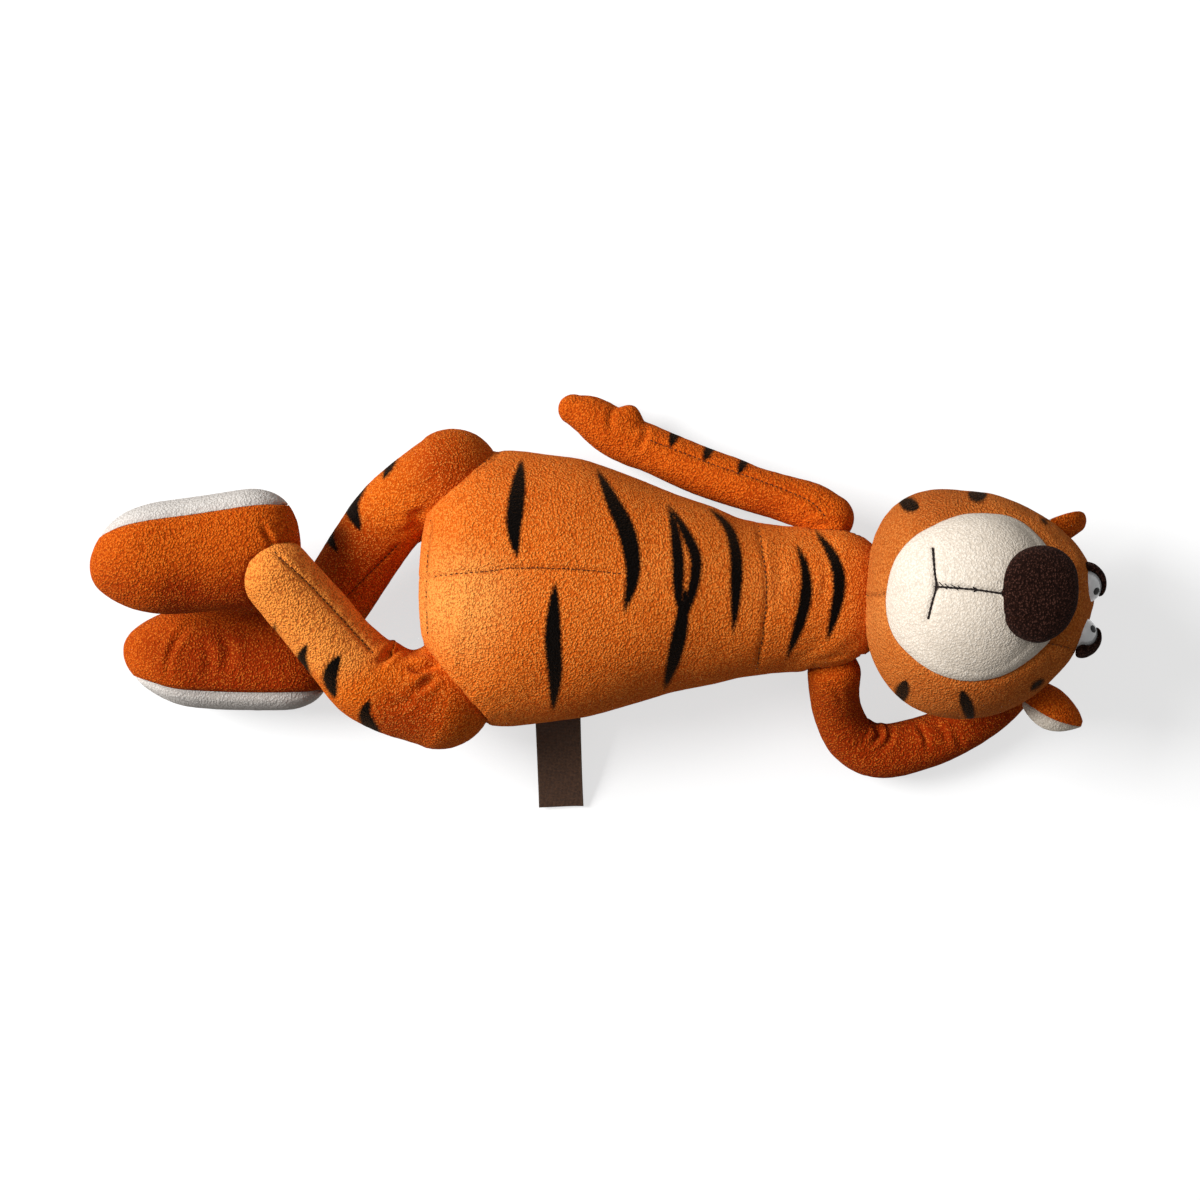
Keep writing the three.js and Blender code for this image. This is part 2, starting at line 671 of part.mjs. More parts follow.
function buildHead() {
  const head = new THREE.Group();
  const skull = new THREE.Group();
  head.position.copy(neckPivot);
  skull.position.copy(headCentre);
  skull.rotation.set(headRoll, 0, headTurn);
  skull.updateMatrix();
  head.add(skull);
  const neck = place(dish(new THREE.Vector3(), neckRadius), skull.matrix.clone().invert());
  const noseSeat = noseForm(seamGap);
  let outer = headForm(0, fine);
  let inner = headForm(-clothWall, coarse);
  let stuffing = headForm(-clothWall - seamGap, coarse).subtract(noseSeat).subtract(neck);
  for (const way of [1, -1]) {
    const eyeRoom = (room, sides) => dish(eyeCentre(way), eyeRadius + room, sides);
    const stemRoom = alongStem(way, eyeStemRadius + seamGap, 0, eyeStemLength + seamGap);
    const washerTo = washerFrom + washerThickness + seamGap;
    const washerRoom = alongStem(way, washerRadius + seamGap, washerFrom - seamGap, washerTo);
    outer = outer.subtract(eyeRoom(0, lessSides)).subtract(stemRoom);
    inner = inner.subtract(eyeRoom(clothWall, smallSides));
    stuffing = stuffing.subtract(eyeRoom(seamGap + clothWall, smallSides));
    stuffing = stuffing.subtract(stemRoom).subtract(washerRoom);
  }
  const cover = outer.subtract(inner).subtract(muzzleForm(seamGap)).subtract(noseSeat);
  const muzzle = muzzleForm(0).subtract(headForm(-clothWall, coarse)).subtract(noseSeat);
  skull.add(
    meshOf("head_cover", largest(cover.subtract(neck)), materials.orange),
    meshOf("head_stuffing", largest(stuffing), materials.fibre),
    meshOf("muzzle_panel", largest(muzzle), materials.cream),
    meshOf("nose", noseForm(0), materials.brown),
    ...buildEye("right", 1),
    ...buildEye("left", -1),
    buildEar("right", 1),
    buildEar("left", -1),
  );
  return head;
}

// Where the head stands in the part's frame, for cutting the hand that lies behind it.
function headClear() {
  const skull = new THREE.Matrix4().makeRotationFromEuler(
    new THREE.Euler(headRoll, 0, headTurn),
  );
  skull.setPosition(neckPivot.clone().add(headCentre));
  return place(headForm(swingGap, fine), skull);
}

// Arms, each an upper arm with its forearm and hand

// An upper arm from its shoulder ball to the neck above the elbow.
const upperArmForm = (elbow) => (grow, facets) =>
  limbForm(
    [0, 1, 2, 3].map((i) => elbow.clone().multiplyScalar(i / 3)),
    [shoulderRadius, armRadius, armRadius, elbowNeckRadius].map((r) => [r, r]),
    facets,
    grow,
  );

// A forearm from its elbow ball to the fingers.
const forearmForm = (points) => (grow, facets) =>
  limbForm(
    points,
    [
      [elbowRadius, elbowRadius],
      [elbowNeckRadius, elbowNeckRadius],
      [armRadius, armRadius],
      [armRadius, armRadius],
      [handRadius, handThickness / 2],
      [handRadius * fingerShare, (handThickness / 2) * fingerShare],
    ],
    facets,
    grow,
  );

function buildArm(side, shoulder, elbow, points, { thumb, handCuts }) {
  const arm = new THREE.Group();
  arm.position.copy(shoulder);
  const lower = new THREE.Group();
  lower.position.copy(elbow);
  const upperForm = upperArmForm(elbow);
  const handForm = forearmForm(points);
  const thumbPath = [points[4], points[4].clone().add(thumb)];
  const thumbRadii = [1, thumbTipShare].map((share) => [share * thumbRadius, share * thumbRadius]);
  const thumbFacets = { sides: limbFill.sides, rings: 2, caps: limbFill.caps };
  const withThumb = (grow, facets) =>
    handForm(grow, facets).add(limbForm(thumbPath, thumbRadii, thumbFacets, grow));
  arm.add(
    ...stuffedLimb(`${side}_upper_arm`, upperForm, {
      cuts: [dish(elbow, elbowRadius), torsoRoom(shoulder, shoulderRadius, armSwing)],
      mouths: [],
      colour: materials.deepOrange,
    }),
    lower,
  );
  lower.add(
    ...stuffedLimb(`${side}_forearm`, withThumb, {
      cuts: handCuts,
      mouths: [fromPivot(upperForm(seamGap, limbFill), elbow)],
      colour: materials.deepOrange,
    }),
  );
  return arm;
}

const thumbOf = (shares) => new THREE.Vector3(...shares).multiplyScalar(thumbRadius);

// The right arm lies beside the torso, leaving it a little with each step.
function rightArm() {
  const beside = (along, height) => {
    const x = shoulderX - along;
    const spread = (armSpreadShare * along ** 2) / (upperArmLength + forearmLength);
    const out = halfWidthAt(x) + armRadius + swingGap + spread;
    return new THREE.Vector3(x, spineAt(x) + out, height);
  };
  const elbowHeight = THREE.MathUtils.lerp(shoulderHeight, handHeight, elbowDropShare);
  const elbow = beside(upperArmLength, elbowHeight);
  const points = restForearmShares.map((share, i) => {
    const height = THREE.MathUtils.lerp(elbow.z, handHeight, restDropShares[i]);
    return beside(upperArmLength + forearmLength * share, height).sub(elbow);
  });
  return buildArm("right", rightShoulder, elbow.sub(rightShoulder), points, {
    thumb: thumbOf(restThumbShares),
    handCuts: [],
  });
}

// The left arm is bent at the elbow, and its hand lies behind the head.
function leftArm() {
  const elbow = new THREE.Vector3(
    bentElbowAlong,
    -bentElbowOut,
    elbowRadius + seamGap - shoulderHeight,
  );
  const points = bentForearmShares.map(
    (share, i) =>
      new THREE.Vector3(
        forearmLength * share,
        forearmLength * bentInShares[i],
        handHeight * bentRiseShares[i],
      ),
  );
  return buildArm("left", leftShoulder, elbow, points, {
    thumb: thumbOf(bentThumbShares),
    handCuts: [fromPivot(headClear(), leftShoulder.clone().add(elbow))],
  });
}

// Legs and feet

const rightAnkleHeight = footHalfWidth + seamGap;
const leftAnkleHeight = 3 * footHalfWidth + seamGap + 2 * swingGap;

// A leg's path from hip to ankle, bowed outwards.
function legPoints(reach, turn, rise, bowWay) {
  const alongWay = new THREE.Vector3(Math.cos(turn), Math.sin(turn), 0);
  const bow = new THREE.Vector3(-alongWay.y, alongWay.x, 0).multiplyScalar(bowWay);
  return legAlongShares.map((share, i) =>
    alongWay
      .clone()
      .multiplyScalar(reach * share)
      .addScaledVector(bow, reach * legBowShare * legBulgeShares[i])
      .addScaledVector(up, rise * share),
  );
}

const legForm = (points) => (grow, facets) =>
  limbForm(
    points,
    [hipRadius, legRadius, legRadius, legRadius, ankleRadius].map((r) => [r, r]),
    facets,
    grow,
  );

// A foot about its ankle: X to the toe, Y to the instep, Z across.
const footWidthAt = through(footAlongShares, footWidthShares);
const footHeightAt = through(footAlongShares, footHeightShares);
function footForm(grow, { sides, rings }) {
  const skin = [];
  for (let i = 0; i <= rings; i++) {
    const share = eased(i, rings);
    const full = fullness(share, footRoundShare, footRoundShare, footSquareness);
    const x = share * footLength - ankleFromHeel + grow * (2 * share - 1);
    const middle = footHeight * footMidShare;
    if (i === 0 || i === rings) {
      skin.push([new THREE.Vector3(x, middle - ankleFromSole, 0)]);
      continue;
    }
    const ring = [];
    for (let k = 0; k < sides; k++) {
      const angle = (2 * Math.PI * k) / sides;
      const above = footHeight * footHeightAt(share) - middle;
      const deep = Math.sin(angle) > 0 ? above : middle + soleBulge;
      const across = footHalfWidth * footWidthAt(share);
      ring.push(
        new THREE.Vector3(
          x,
          middle - ankleFromSole + (deep + grow) * full * squared(Math.sin(angle), footSquareness),
          -(across + grow) * full * squared(Math.cos(angle), footSquareness),
        ),
      );
    }
    skin.push(ring);
  }
  return solidOf(closedSkin(skin));
}

// The pocket that the shank turns in: the ankle's dish and a fan up the shank.
function anklePocket(shank, toFoot) {
  const corners = [];
  for (const degrees of footSwing) {
    const turned = shank.clone().applyAxisAngle(up, THREE.MathUtils.degToRad(degrees));
    const side = up.clone().cross(turned).normalize();
    const lift = turned.clone().normalize().cross(side);
    for (const { x, y } of new THREE.EllipseCurve(0, 0, 1, 1).getPoints(limbFill.sides)) {
      for (const along of [0, 1]) {
        const radius = THREE.MathUtils.lerp(ankleRadius, legRadius, along) + ankleRoom;
        const at = turned.clone().multiplyScalar(along);
        corners.push(at.addScaledVector(side, x * radius).addScaledVector(lift, y * radius));
      }
    }
  }
  const about = new THREE.Matrix4().extractRotation(toFoot);
  return dish(new THREE.Vector3(), ankleRadius).add(place(solidOf(new ConvexGeometry(corners)), about));
}

function buildFoot(side, ankle, shank, { turn, flip }) {
  const foot = new THREE.Group();
  foot.position.copy(ankle);
  foot.rotation.set(flip ? Math.PI : 0, 0, turn);
  foot.updateMatrix();
  const pocket = anklePocket(shank, foot.matrix.clone().invert());
  const wide = footHalfWidth + overrun;
  const layer = (from, to) =>
    slab(
      new THREE.Vector3(-footLength, from - ankleFromSole, -wide),
      new THREE.Vector3(footLength + overrun, to - ankleFromSole, wide),
    );
  const shell = footForm(0, coarse).subtract(footForm(-clothWall, limbFill));
  const upper = shell.subtract(layer(-footHeight, seamGap / 2)).subtract(pocket);
  const sole = shell.subtract(layer(-seamGap / 2, 2 * footHeight));
  const stuffing = footForm(-clothWall - seamGap, limbFill).subtract(pocket);
  foot.add(
    meshOf(`${side}_foot_cover`, largest(upper), materials.deepOrange),
    meshOf(`${side}_sole`, largest(sole), materials.cream),
    meshOf(`${side}_foot_stuffing`, largest(stuffing), materials.fibre),
  );
  return foot;
}

function buildLeg(side, hip, points, { swing, ...footTurn }) {
  const leg = new THREE.Group();
  leg.position.copy(hip);
  const ankle = points.at(-1);
  const shank = points.at(-2).clone().sub(ankle);
  const foot = buildFoot(side, ankle, shank, footTurn);
  const mouthAt = ankle.clone().addScaledVector(shank.clone().normalize(), -ankleRadius);
  leg.add(
    ...stuffedLimb(`${side}_leg`, legForm(points), {
      cuts: [torsoRoom(hip, hipRadius, swing)],
      mouths: [ball(mouthAt, ankleRadius * ankleMouthShare, smallSides)],
      colour: materials.deepOrange,
    }),
    foot,
  );
  return leg;
}

function rightLeg() {
  const points = legPoints(rightLegReach, rightLegTurn, rightAnkleHeight - hipHeight, -1);
  return buildLeg("right", rightHip, points, { swing: rightSwing, turn: rightFootTurn, flip: true });
}

function leftLeg() {
  const points = legPoints(leftLegReach, leftLegTurn, leftAnkleHeight - hipHeight, 1);
  return buildLeg("left", leftHip, points, { swing: leftSwing, turn: leftFootTurn, flip: false });
}

function buildTail() {
  const tail = new THREE.Group();
  tail.position.copy(tailRoot);
  const wide = tailRootRadius + overrun;
  const rootEnd = slab(new THREE.Vector3(-wide, -wide, -wide), new THREE.Vector3(0, wide, wide));
  tail.add(
    ...stuffedLimb("tail", (grow, facets) => tailForm(grow, facets), {
      cuts: [],
      mouths: [rootEnd],
      colour: materials.orange,
    }),
  );
  return tail;
}

// Label: a ribbon folded into a flat loop, sewn into the side seam
function buildLabel() {
  const label = new THREE.Group();
  const x = torsoX(labelAlongShare);
  const slope = Math.asin((labelHeight - labelThickness) / labelLength);
  const sides = [-labelWidth / 2, 0, labelWidth / 2].map((off) =>
    halfWidthLow(x + off, labelHeight + labelThickness),
  );
  label.position.set(x, spineAt(x) - Math.max(...sides) - seamGap, labelHeight);
  label.rotation.set(0, 0, labelTurn);
  const outline = new THREE.Shape();
  const half = labelThickness / 2;
  outline.moveTo(0, half);
  outline.lineTo(-labelLength + half, half);
  outline.absarc(-labelLength + half, 0, half, Math.PI / 2, (3 * Math.PI) / 2, false);
  outline.lineTo(0, -half);
  outline.lineTo(0, -half + labelRibbon);
  outline.lineTo(-labelLength + half, -half + labelRibbon);
  outline.absarc(-labelLength + half, 0, half - labelRibbon, (3 * Math.PI) / 2, Math.PI / 2, true);
  outline.lineTo(0, half - labelRibbon);
  outline.closePath();
  const shape = new THREE.ExtrudeGeometry(outline, {
    depth: labelWidth,
    bevelEnabled: false,
    curveSegments: 4,
  });
  shape.translate(0, 0, -labelWidth / 2);
  shape.rotateX(Math.PI / 2);
  shape.rotateZ(Math.PI / 2);
  shape.rotateX(slope);
  label.add(meshOf("label_loop", solidOf(shape), materials.ribbon));
  return label;
}

const tiger = new THREE.Group();
tiger.add(
  buildTorso(),
  buildHead(),
  rightArm(),
  leftArm(),
  rightLeg(),
  leftLeg(),
  buildTail(),
  buildLabel(),
);

export default tiger;
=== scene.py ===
import json
import math
from itertools import product

import bpy
import numpy as np
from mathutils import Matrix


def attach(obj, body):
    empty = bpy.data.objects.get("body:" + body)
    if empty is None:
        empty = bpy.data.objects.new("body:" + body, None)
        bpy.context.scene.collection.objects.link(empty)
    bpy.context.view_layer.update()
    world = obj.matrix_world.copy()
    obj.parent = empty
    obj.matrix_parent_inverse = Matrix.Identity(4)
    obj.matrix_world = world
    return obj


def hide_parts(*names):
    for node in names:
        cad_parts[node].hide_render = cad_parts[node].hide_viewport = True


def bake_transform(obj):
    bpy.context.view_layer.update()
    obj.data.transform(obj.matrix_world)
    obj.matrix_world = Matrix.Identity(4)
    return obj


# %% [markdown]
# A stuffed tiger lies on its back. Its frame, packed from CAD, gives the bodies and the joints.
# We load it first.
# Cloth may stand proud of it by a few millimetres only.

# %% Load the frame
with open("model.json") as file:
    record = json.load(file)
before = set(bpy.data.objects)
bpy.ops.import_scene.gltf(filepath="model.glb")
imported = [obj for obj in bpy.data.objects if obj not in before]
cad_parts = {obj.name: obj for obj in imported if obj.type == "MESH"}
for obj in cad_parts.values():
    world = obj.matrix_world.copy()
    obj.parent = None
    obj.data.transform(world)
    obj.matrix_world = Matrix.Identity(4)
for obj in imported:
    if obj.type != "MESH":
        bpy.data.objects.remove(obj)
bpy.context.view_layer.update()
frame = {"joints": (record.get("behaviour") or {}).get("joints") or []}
MM = 0.001

# %% [markdown]
# The picture was taken from straight above, with the head to the right. A camera that hangs
# 0.8 m over the floor sees the toy at 0.45 mm a pixel, and a short lens would bend its sides.
# The same numbers tell where any point of the toy falls in the picture, so that a stripe or a
# seam can be written in the picture's own pixels and laid on the cloth where it was seen.

# %% Camera
PHOTO_SIZE = 1200
FOCAL = 1689.0
CAMERA_UP = 800.0
AIM = np.array([-20.0, -4.0])


def photo_px(points):
    """Where points (mm) fall in the picture: their offset from the aim, times focal / depth."""
    scale = FOCAL / (CAMERA_UP - points[..., 2])
    x = PHOTO_SIZE / 2 + (points[..., 0] - AIM[0]) * scale
    y = PHOTO_SIZE / 2 - (points[..., 1] - AIM[1]) * scale
    return np.stack([x, y], -1)


def from_px(px, height):
    """The point (mm) at a height that falls on a pixel: the same formula, turned round."""
    px, height = np.asarray(px, float), np.asarray(height, float)
    scale = (CAMERA_UP - height) / FOCAL
    x = AIM[0] + (px[..., 0] - PHOTO_SIZE / 2) * scale
    y = AIM[1] - (px[..., 1] - PHOTO_SIZE / 2) * scale
    return np.stack([x, y, height + 0 * x], -1)


lens = bpy.data.cameras.new("lens")
lens.sensor_width = 36
lens.lens = lens.sensor_width * FOCAL / PHOTO_SIZE
camera = bpy.data.objects.new("camera", lens)
camera.location = (AIM[0] * MM, AIM[1] * MM, CAMERA_UP * MM)
bpy.context.scene.collection.objects.link(camera)
bpy.context.scene.camera = camera
bpy.context.scene.view_settings.view_transform = "Standard"
print(f"lens {lens.lens:.1f} mm at {CAMERA_UP:.0f} mm")

# %% [markdown]
# Soft light from a window shows plush best: one large lamp to the upper left, and a broad weak
# one high on the other side, over an even sky. The floor is plain white paper. To the camera it
# glows a little, so that it comes out white, but the part that doesn't glow still takes the
# toy's shadow.

# %% Floor and light
FLOOR_HALF, FLOOR_DROP = 3.0, 0.0004
FLOOR_GLOW_SHARE, FLOOR_GLOW = 0.60, 1.10
PAPER, TABLE = (0.95, 0.95, 0.95, 1), (0.30, 0.29, 0.28, 1)
SKY_STRENGTH = 0.165


def fill(tree, socket, value):
    """Links an output to a socket, or types a plain value in."""
    if isinstance(value, bpy.types.NodeSocket):
        tree.links.new(value, socket)
    else:
        socket.default_value = value


def node(tree, kind, operation=None, **given):
    """A new node with its named inputs filled; an underscore stands for a space."""
    made = tree.nodes.new("ShaderNode" + kind)
    if operation:
        made.operation = operation
    for name, value in given.items():
        fill(tree, made.inputs[name.replace("_", " ")], value)
    return made


def maths(tree, kind, a, b=0.0):
    """One step of arithmetic on two values or outputs."""
    made = node(tree, "Math", kind)
    fill(tree, made.inputs[0], a)
    fill(tree, made.inputs[1], b)
    return made.outputs[0]


def shader(name):
    """A new material, its node tree with nothing but the output in it, and that output."""
    material = bpy.data.materials.new(name)
    material.use_nodes = True
    tree = material.node_tree
    tree.nodes.clear()
    return material, tree, tree.nodes.new("ShaderNodeOutputMaterial")


def seen_ray(tree):
    """1 for a ray from the camera, straight or off a gloss, and 0 for light that bounces."""
    path = node(tree, "LightPath").outputs
    return maths(tree, "MAXIMUM", path["Is Camera Ray"], path["Is Glossy Ray"])


def blend_of(tree, share, first, second):
    """Two shaders mixed, the second one by its share."""
    mix = node(tree, "MixShader", Fac=share)
    tree.links.new(first.outputs[0], mix.inputs[1])
    tree.links.new(second.outputs[0], mix.inputs[2])
    return mix


def paper_floor():
    """White paper to the camera: mostly glow, and the rest takes shadow. To light that bounces
    it is grey, as a table would be, so the toy's sides keep their shade."""
    material, tree, out = shader("paper")
    plain, table = (node(tree, "BsdfDiffuse", Color=colour) for colour in (PAPER, TABLE))
    glow = node(tree, "Emission", Strength=FLOOR_GLOW)
    white = blend_of(tree, FLOOR_GLOW_SHARE, plain, glow)
    mix = blend_of(tree, seen_ray(tree), table, white)
    tree.links.new(mix.outputs[0], out.inputs["Surface"])
    mesh = bpy.data.meshes.new("floor")
    h = FLOOR_HALF
    mesh.from_pydata([(-h, -h, 0), (h, -h, 0), (h, h, 0), (-h, h, 0)], [], [(0, 1, 2, 3)])
    mesh.materials.append(material)
    floor = bpy.data.objects.new("floor", mesh)
    floor.location.z = -FLOOR_DROP
    bpy.context.scene.collection.objects.link(floor)


def lamp(name, place, size, power):
    """A square lamp that faces the toy's middle: its -Z axis is turned along the way there."""
    light = bpy.data.lights.new(name, "AREA")
    light.size, light.energy = size, power
    holder = bpy.data.objects.new(name, light)
    holder.location = place
    way = -holder.location
    holder.rotation_euler = way.to_track_quat("-Z", "Y").to_euler()
    bpy.context.scene.collection.objects.link(holder)


def pale_sky(strength):
    """An even sky of a low strength for the toy, and plain white behind it for the camera."""
    sky = bpy.data.worlds.new("sky")
    sky.use_nodes = True
    tree = sky.node_tree
    level = node(tree, "MapRange", Value=seen_ray(tree), To_Min=strength, To_Max=1.0)
    air = tree.nodes["Background"]
    air.inputs["Color"].default_value = (1, 1, 1, 1)
    tree.links.new(level.outputs["Result"], air.inputs["Strength"])
    bpy.context.scene.world = sky


paper_floor()
lamp("window", (-3.5, 1.05, 2.8), 1.9, 325)
lamp("bounce", (0.9, 1.8, 3.9), 3.6, 18)
pale_sky(SKY_STRENGTH)
print("floor, two lamps and a sky")

# %% [markdown]
# Every stuffed piece is a skin: rings of points from one pole to the other. We write each ring
# with a formula, all rings at once as one numpy array, and join neighbours with quads.
# A superellipse is a circle whose sine and cosine are raised to a power, so that it squares off.

# %% Curves and skins


def through(shares, values):
    """A smooth function through values: on each span a cubic whose slope at a knot is the
    slope between that knot's two neighbours."""
    shares, values = np.asarray(shares, float), np.asarray(values, float)
    rise = np.empty_like(values)
    shape = (-1,) + (1,) * (values.ndim - 1)
    rise[1:-1] = (values[2:] - values[:-2]) / (shares[2:] - shares[:-2]).reshape(shape)
    rise[0] = (values[1] - values[0]) / (shares[1] - shares[0])
    rise[-1] = (values[-1] - values[-2]) / (shares[-1] - shares[-2])

    def at(share):
        s = np.clip(np.asarray(share, float), shares[0], shares[-1])
        i = np.clip(np.searchsorted(shares, s, side="right") - 1, 0, len(shares) - 2)
        span = shares[i + 1] - shares[i]
        t = ((s - shares[i]) / span).reshape(s.shape + (1,) * (values.ndim - 1))
        span = span.reshape(t.shape)
        return (
            (2 * t**3 - 3 * t**2 + 1) * values[i]
            + (t**3 - 2 * t**2 + t) * span * rise[i]
            + (3 * t**2 - 2 * t**3) * values[i + 1]
            + (t**3 - t**2) * span * rise[i + 1]
        )

    return at


def squared(value, squareness):
    """The signed power that squares a circle off: sign(v) * |v| ** (2 / squareness)."""
    return np.sign(value) * np.abs(value) ** (2 / squareness)


def fullness(share, start_round, end_round, start_power, end_power):
    """1 in the middle of a form, and at its ends (1 - lack ** p) ** (1 / p), down to 0."""
    start = np.clip(1 - share / start_round, 0, 1)
    end = np.clip(1 - (1 - share) / end_round, 0, 1)
    first = (1 - start**start_power) ** (1 / start_power)
    return first * (1 - end**end_power) ** (1 / end_power)


def eased(count):
    """Shares from 0 to 1, closer together at both ends: (1 - cos(pi i / n)) / 2."""
    return (1 - np.cos(np.linspace(0, np.pi, count))) / 2


def eased_step(t):
    """From 0 to 1 with a level start and end: 3t^2 - 2t^3."""
    return t * t * (3 - 2 * t)


def reach_along(points):
    """The length along a line of points, up to each of them."""
    return np.r_[0, np.cumsum(np.linalg.norm(np.diff(points, axis=0), axis=1))]


def turn_x(angle):
    c, s = math.cos(angle), math.sin(angle)
    return np.array([[1, 0, 0], [0, c, -s], [0, s, c]])


def turn_y(angle):
    c, s = math.cos(angle), math.sin(angle)
    return np.array([[c, 0, s], [0, 1, 0], [-s, 0, c]])


def turn_z(angle):
    c, s = math.cos(angle), math.sin(angle)
    return np.array([[c, -s, 0], [s, c, 0], [0, 0, 1]])


def angles(count):
    """That many angles, once round."""
    return np.linspace(0, 2 * np.pi, count, endpoint=False)


def unit(ways, least=1e-9):
    """Ways of length 1; least keeps one without a length from a division by 0."""
    return ways / (np.linalg.norm(ways, axis=-1, keepdims=True) + least)


def facing_out(grid, normal, least=1e-9):
    """Unit normals, turned over where they would point to the grid's middle."""
    normal = unit(normal, least)
    return normal * np.sign(((grid - grid.mean((0, 1))) * normal).sum(-1).mean())


def outward(grid):
    """Unit normals of a grid of rings: the cross of the steps along it and round it."""
    round_it = np.roll(grid, -1, 1) - np.roll(grid, 1, 1)
    normal = np.cross(np.gradient(grid, axis=0), round_it)
    normal[0], normal[-1] = normal[1].mean(0), normal[-2].mean(0)
    return facing_out(grid, normal, 1e-12)


def quads(rows, columns, closed=True):
    """Corner numbers of the quads between neighbouring rows, as one array."""
    wide = columns if closed else columns - 1
    i, k = np.meshgrid(np.arange(rows - 1), np.arange(wide), indexing="ij")
    nxt = (k + 1) % columns
    a, b = i * columns + k, i * columns + nxt
    return np.stack([a, b, b + columns, a + columns], -1).reshape(-1, 4)


def sheet_normals(grid):
    """Unit normals of an open grid, away from its middle: the cross of its two steps."""
    return facing_out(grid, np.cross(np.gradient(grid, axis=0), np.gradient(grid, axis=1)))


def closed_faces(grid):
    """Points and faces of a closed skin: a point for each end ring, quads between, fans beside.
    The winding is turned where the enclosed volume comes out below 0."""
    rows, columns = grid.shape[:2]
    ends = [grid[0].mean(0)[None], grid[-1].mean(0)[None]]
    points = np.concatenate([ends[0], grid[1:-1].reshape(-1, 3), ends[1]])
    last = len(points) - 1
    around = np.arange(columns)
    turn = (around + 1) % columns
    low = np.stack([0 * around, turn + 1, around + 1], -1)
    top = last - columns
    high = np.stack([0 * around + last, around + top, turn + top], -1)
    inner = quads(rows - 2, columns) + 1
    corners = points[inner]
    volume = (corners[:, 0] * np.cross(corners[:, 1], corners[:, 2])).sum()
    faces = [low, inner, high] if volume > 0 else [f[:, ::-1] for f in (low, inner, high)]
    return points, [list(map(int, f)) for g in faces for f in g]


def piece_from(name, points, faces, material):
    """A smooth mesh object from points in mm and a list of faces, one finish."""
    mesh = bpy.data.meshes.new(name)
    mesh.from_pydata((np.asarray(points) * MM).tolist(), [], faces)
    mesh.polygons.foreach_set("use_smooth", np.ones(len(mesh.polygons), bool))
    mesh.materials.append(material)
    mesh.update()
    piece = bpy.data.objects.new(name, mesh)
    bpy.context.scene.collection.objects.link(piece)
    return piece


def keep_mark(piece, mark, parts):
    """Values for the points, in their order, kept as an attribute of the mesh."""
    layer = piece.data.attributes.new(mark, "FLOAT", "POINT")
    layer.data.foreach_set("value", np.concatenate(parts).astype(np.float32))


def skin(name, grid, material, **marks):
    """A closed skin from rings: one point at each pole, fans beside it, quads between.
    marks are values for each point of the grid, kept as attributes of the mesh."""
    rows, columns = grid.shape[:2]
    points, faces = closed_faces(grid)
    piece = piece_from(name, points, faces, material)
    for mark, values in marks.items():
        values = np.broadcast_to(values, (rows, columns))
        keep_mark(piece, mark, [[values[0].mean()], values[1:-1].ravel(), [values[-1].mean()]])
    print(f"{name}: {len(points)} points")
    return piece


# %% [markdown]
# Cloth is never even. Value noise gives it small lumps: random numbers stand on the corners of a
# lattice and are blended between them. Large cells are the stuffing under the cloth, and cells
# of 2 mm are the tufts of the pile. The same seed gives the same toy on every run.

# %% Noise and lines on the cloth


def noise(points, cell, seed):
    """Smooth noise from -1 to 1: hashed numbers on a lattice, blended by 3t^2 - 2t^3."""
    at = np.asarray(points, float) / cell
    base = np.floor(at).astype(np.int64)
    part = at - base
    ease = eased_step(part)
    total = np.zeros(at.shape[:-1])
    for corner in product((0, 1), repeat=3):
        index = base + np.array(corner)
        mixed = (index * np.array([73856093, 19349663, 83492791])).sum(-1) ^ (seed * 2654435761)
        mixed = (mixed ^ (mixed >> 13)) * 1274126177 & 0x7FFFFFFF
        mixed = (mixed ^ (mixed >> 11)) * 668265263 & 0x7FFFFFFF
        weight = np.prod(np.where(np.array(corner) == 1, ease, 1 - ease), -1)
        total += weight * (mixed / 0x3FFFFFFF - 1)
    return total


def line_of(points, steps=40):
    """A smooth line through a few points, by the length between them."""
    points = np.asarray(points, float)
    if len(points) < 3:
        return np.linspace(points[0], points[-1], steps)
    reach = reach_along(points)
    return through(reach / reach[-1], points)(np.linspace(0, 1, steps))


def near_line(places, line):
    """For each place, its distance to a line and the share along it of the nearest point."""
    best = np.full(places.shape[:-1], 1e9)
    where = np.zeros(places.shape[:-1])
    for i, (a, b) in enumerate(zip(line[:-1], line[1:])):
        step = b - a
        t = np.clip(((places - a) @ step) / (step @ step), 0, 1)
        far = np.linalg.norm(places - (a + t[..., None] * step), axis=-1)
        closer = far < best
        best = np.where(closer, far, best)
        where = np.where(closer, (i + t) / (len(line) - 1), where)
    return best, where


PX = 0.45  # mm a pixel, near enough for widths and depths
FAR = 99.0  # farther, in mm, than any mark on the cloth reaches
RUCK_PITCH, RUCK_REACH = 6.0, 5.0


def stripe_field(places, stripes, blunt=0.62):
    """Distance in mm from the edge of the nearest stripe, below 0 inside it. A stripe is a line
    and its full width, which tapers to both ends as sin(pi t) ** blunt."""
    field = np.full(places.shape[:-1], FAR)
    for width, *points in stripes:
        far, share = near_line(places, line_of(points))
        half = width / 2 * np.sin(np.pi * np.clip(share, 0.001, 0.999)) ** blunt
        field = np.minimum(field, (far - half) * PX)
    return field


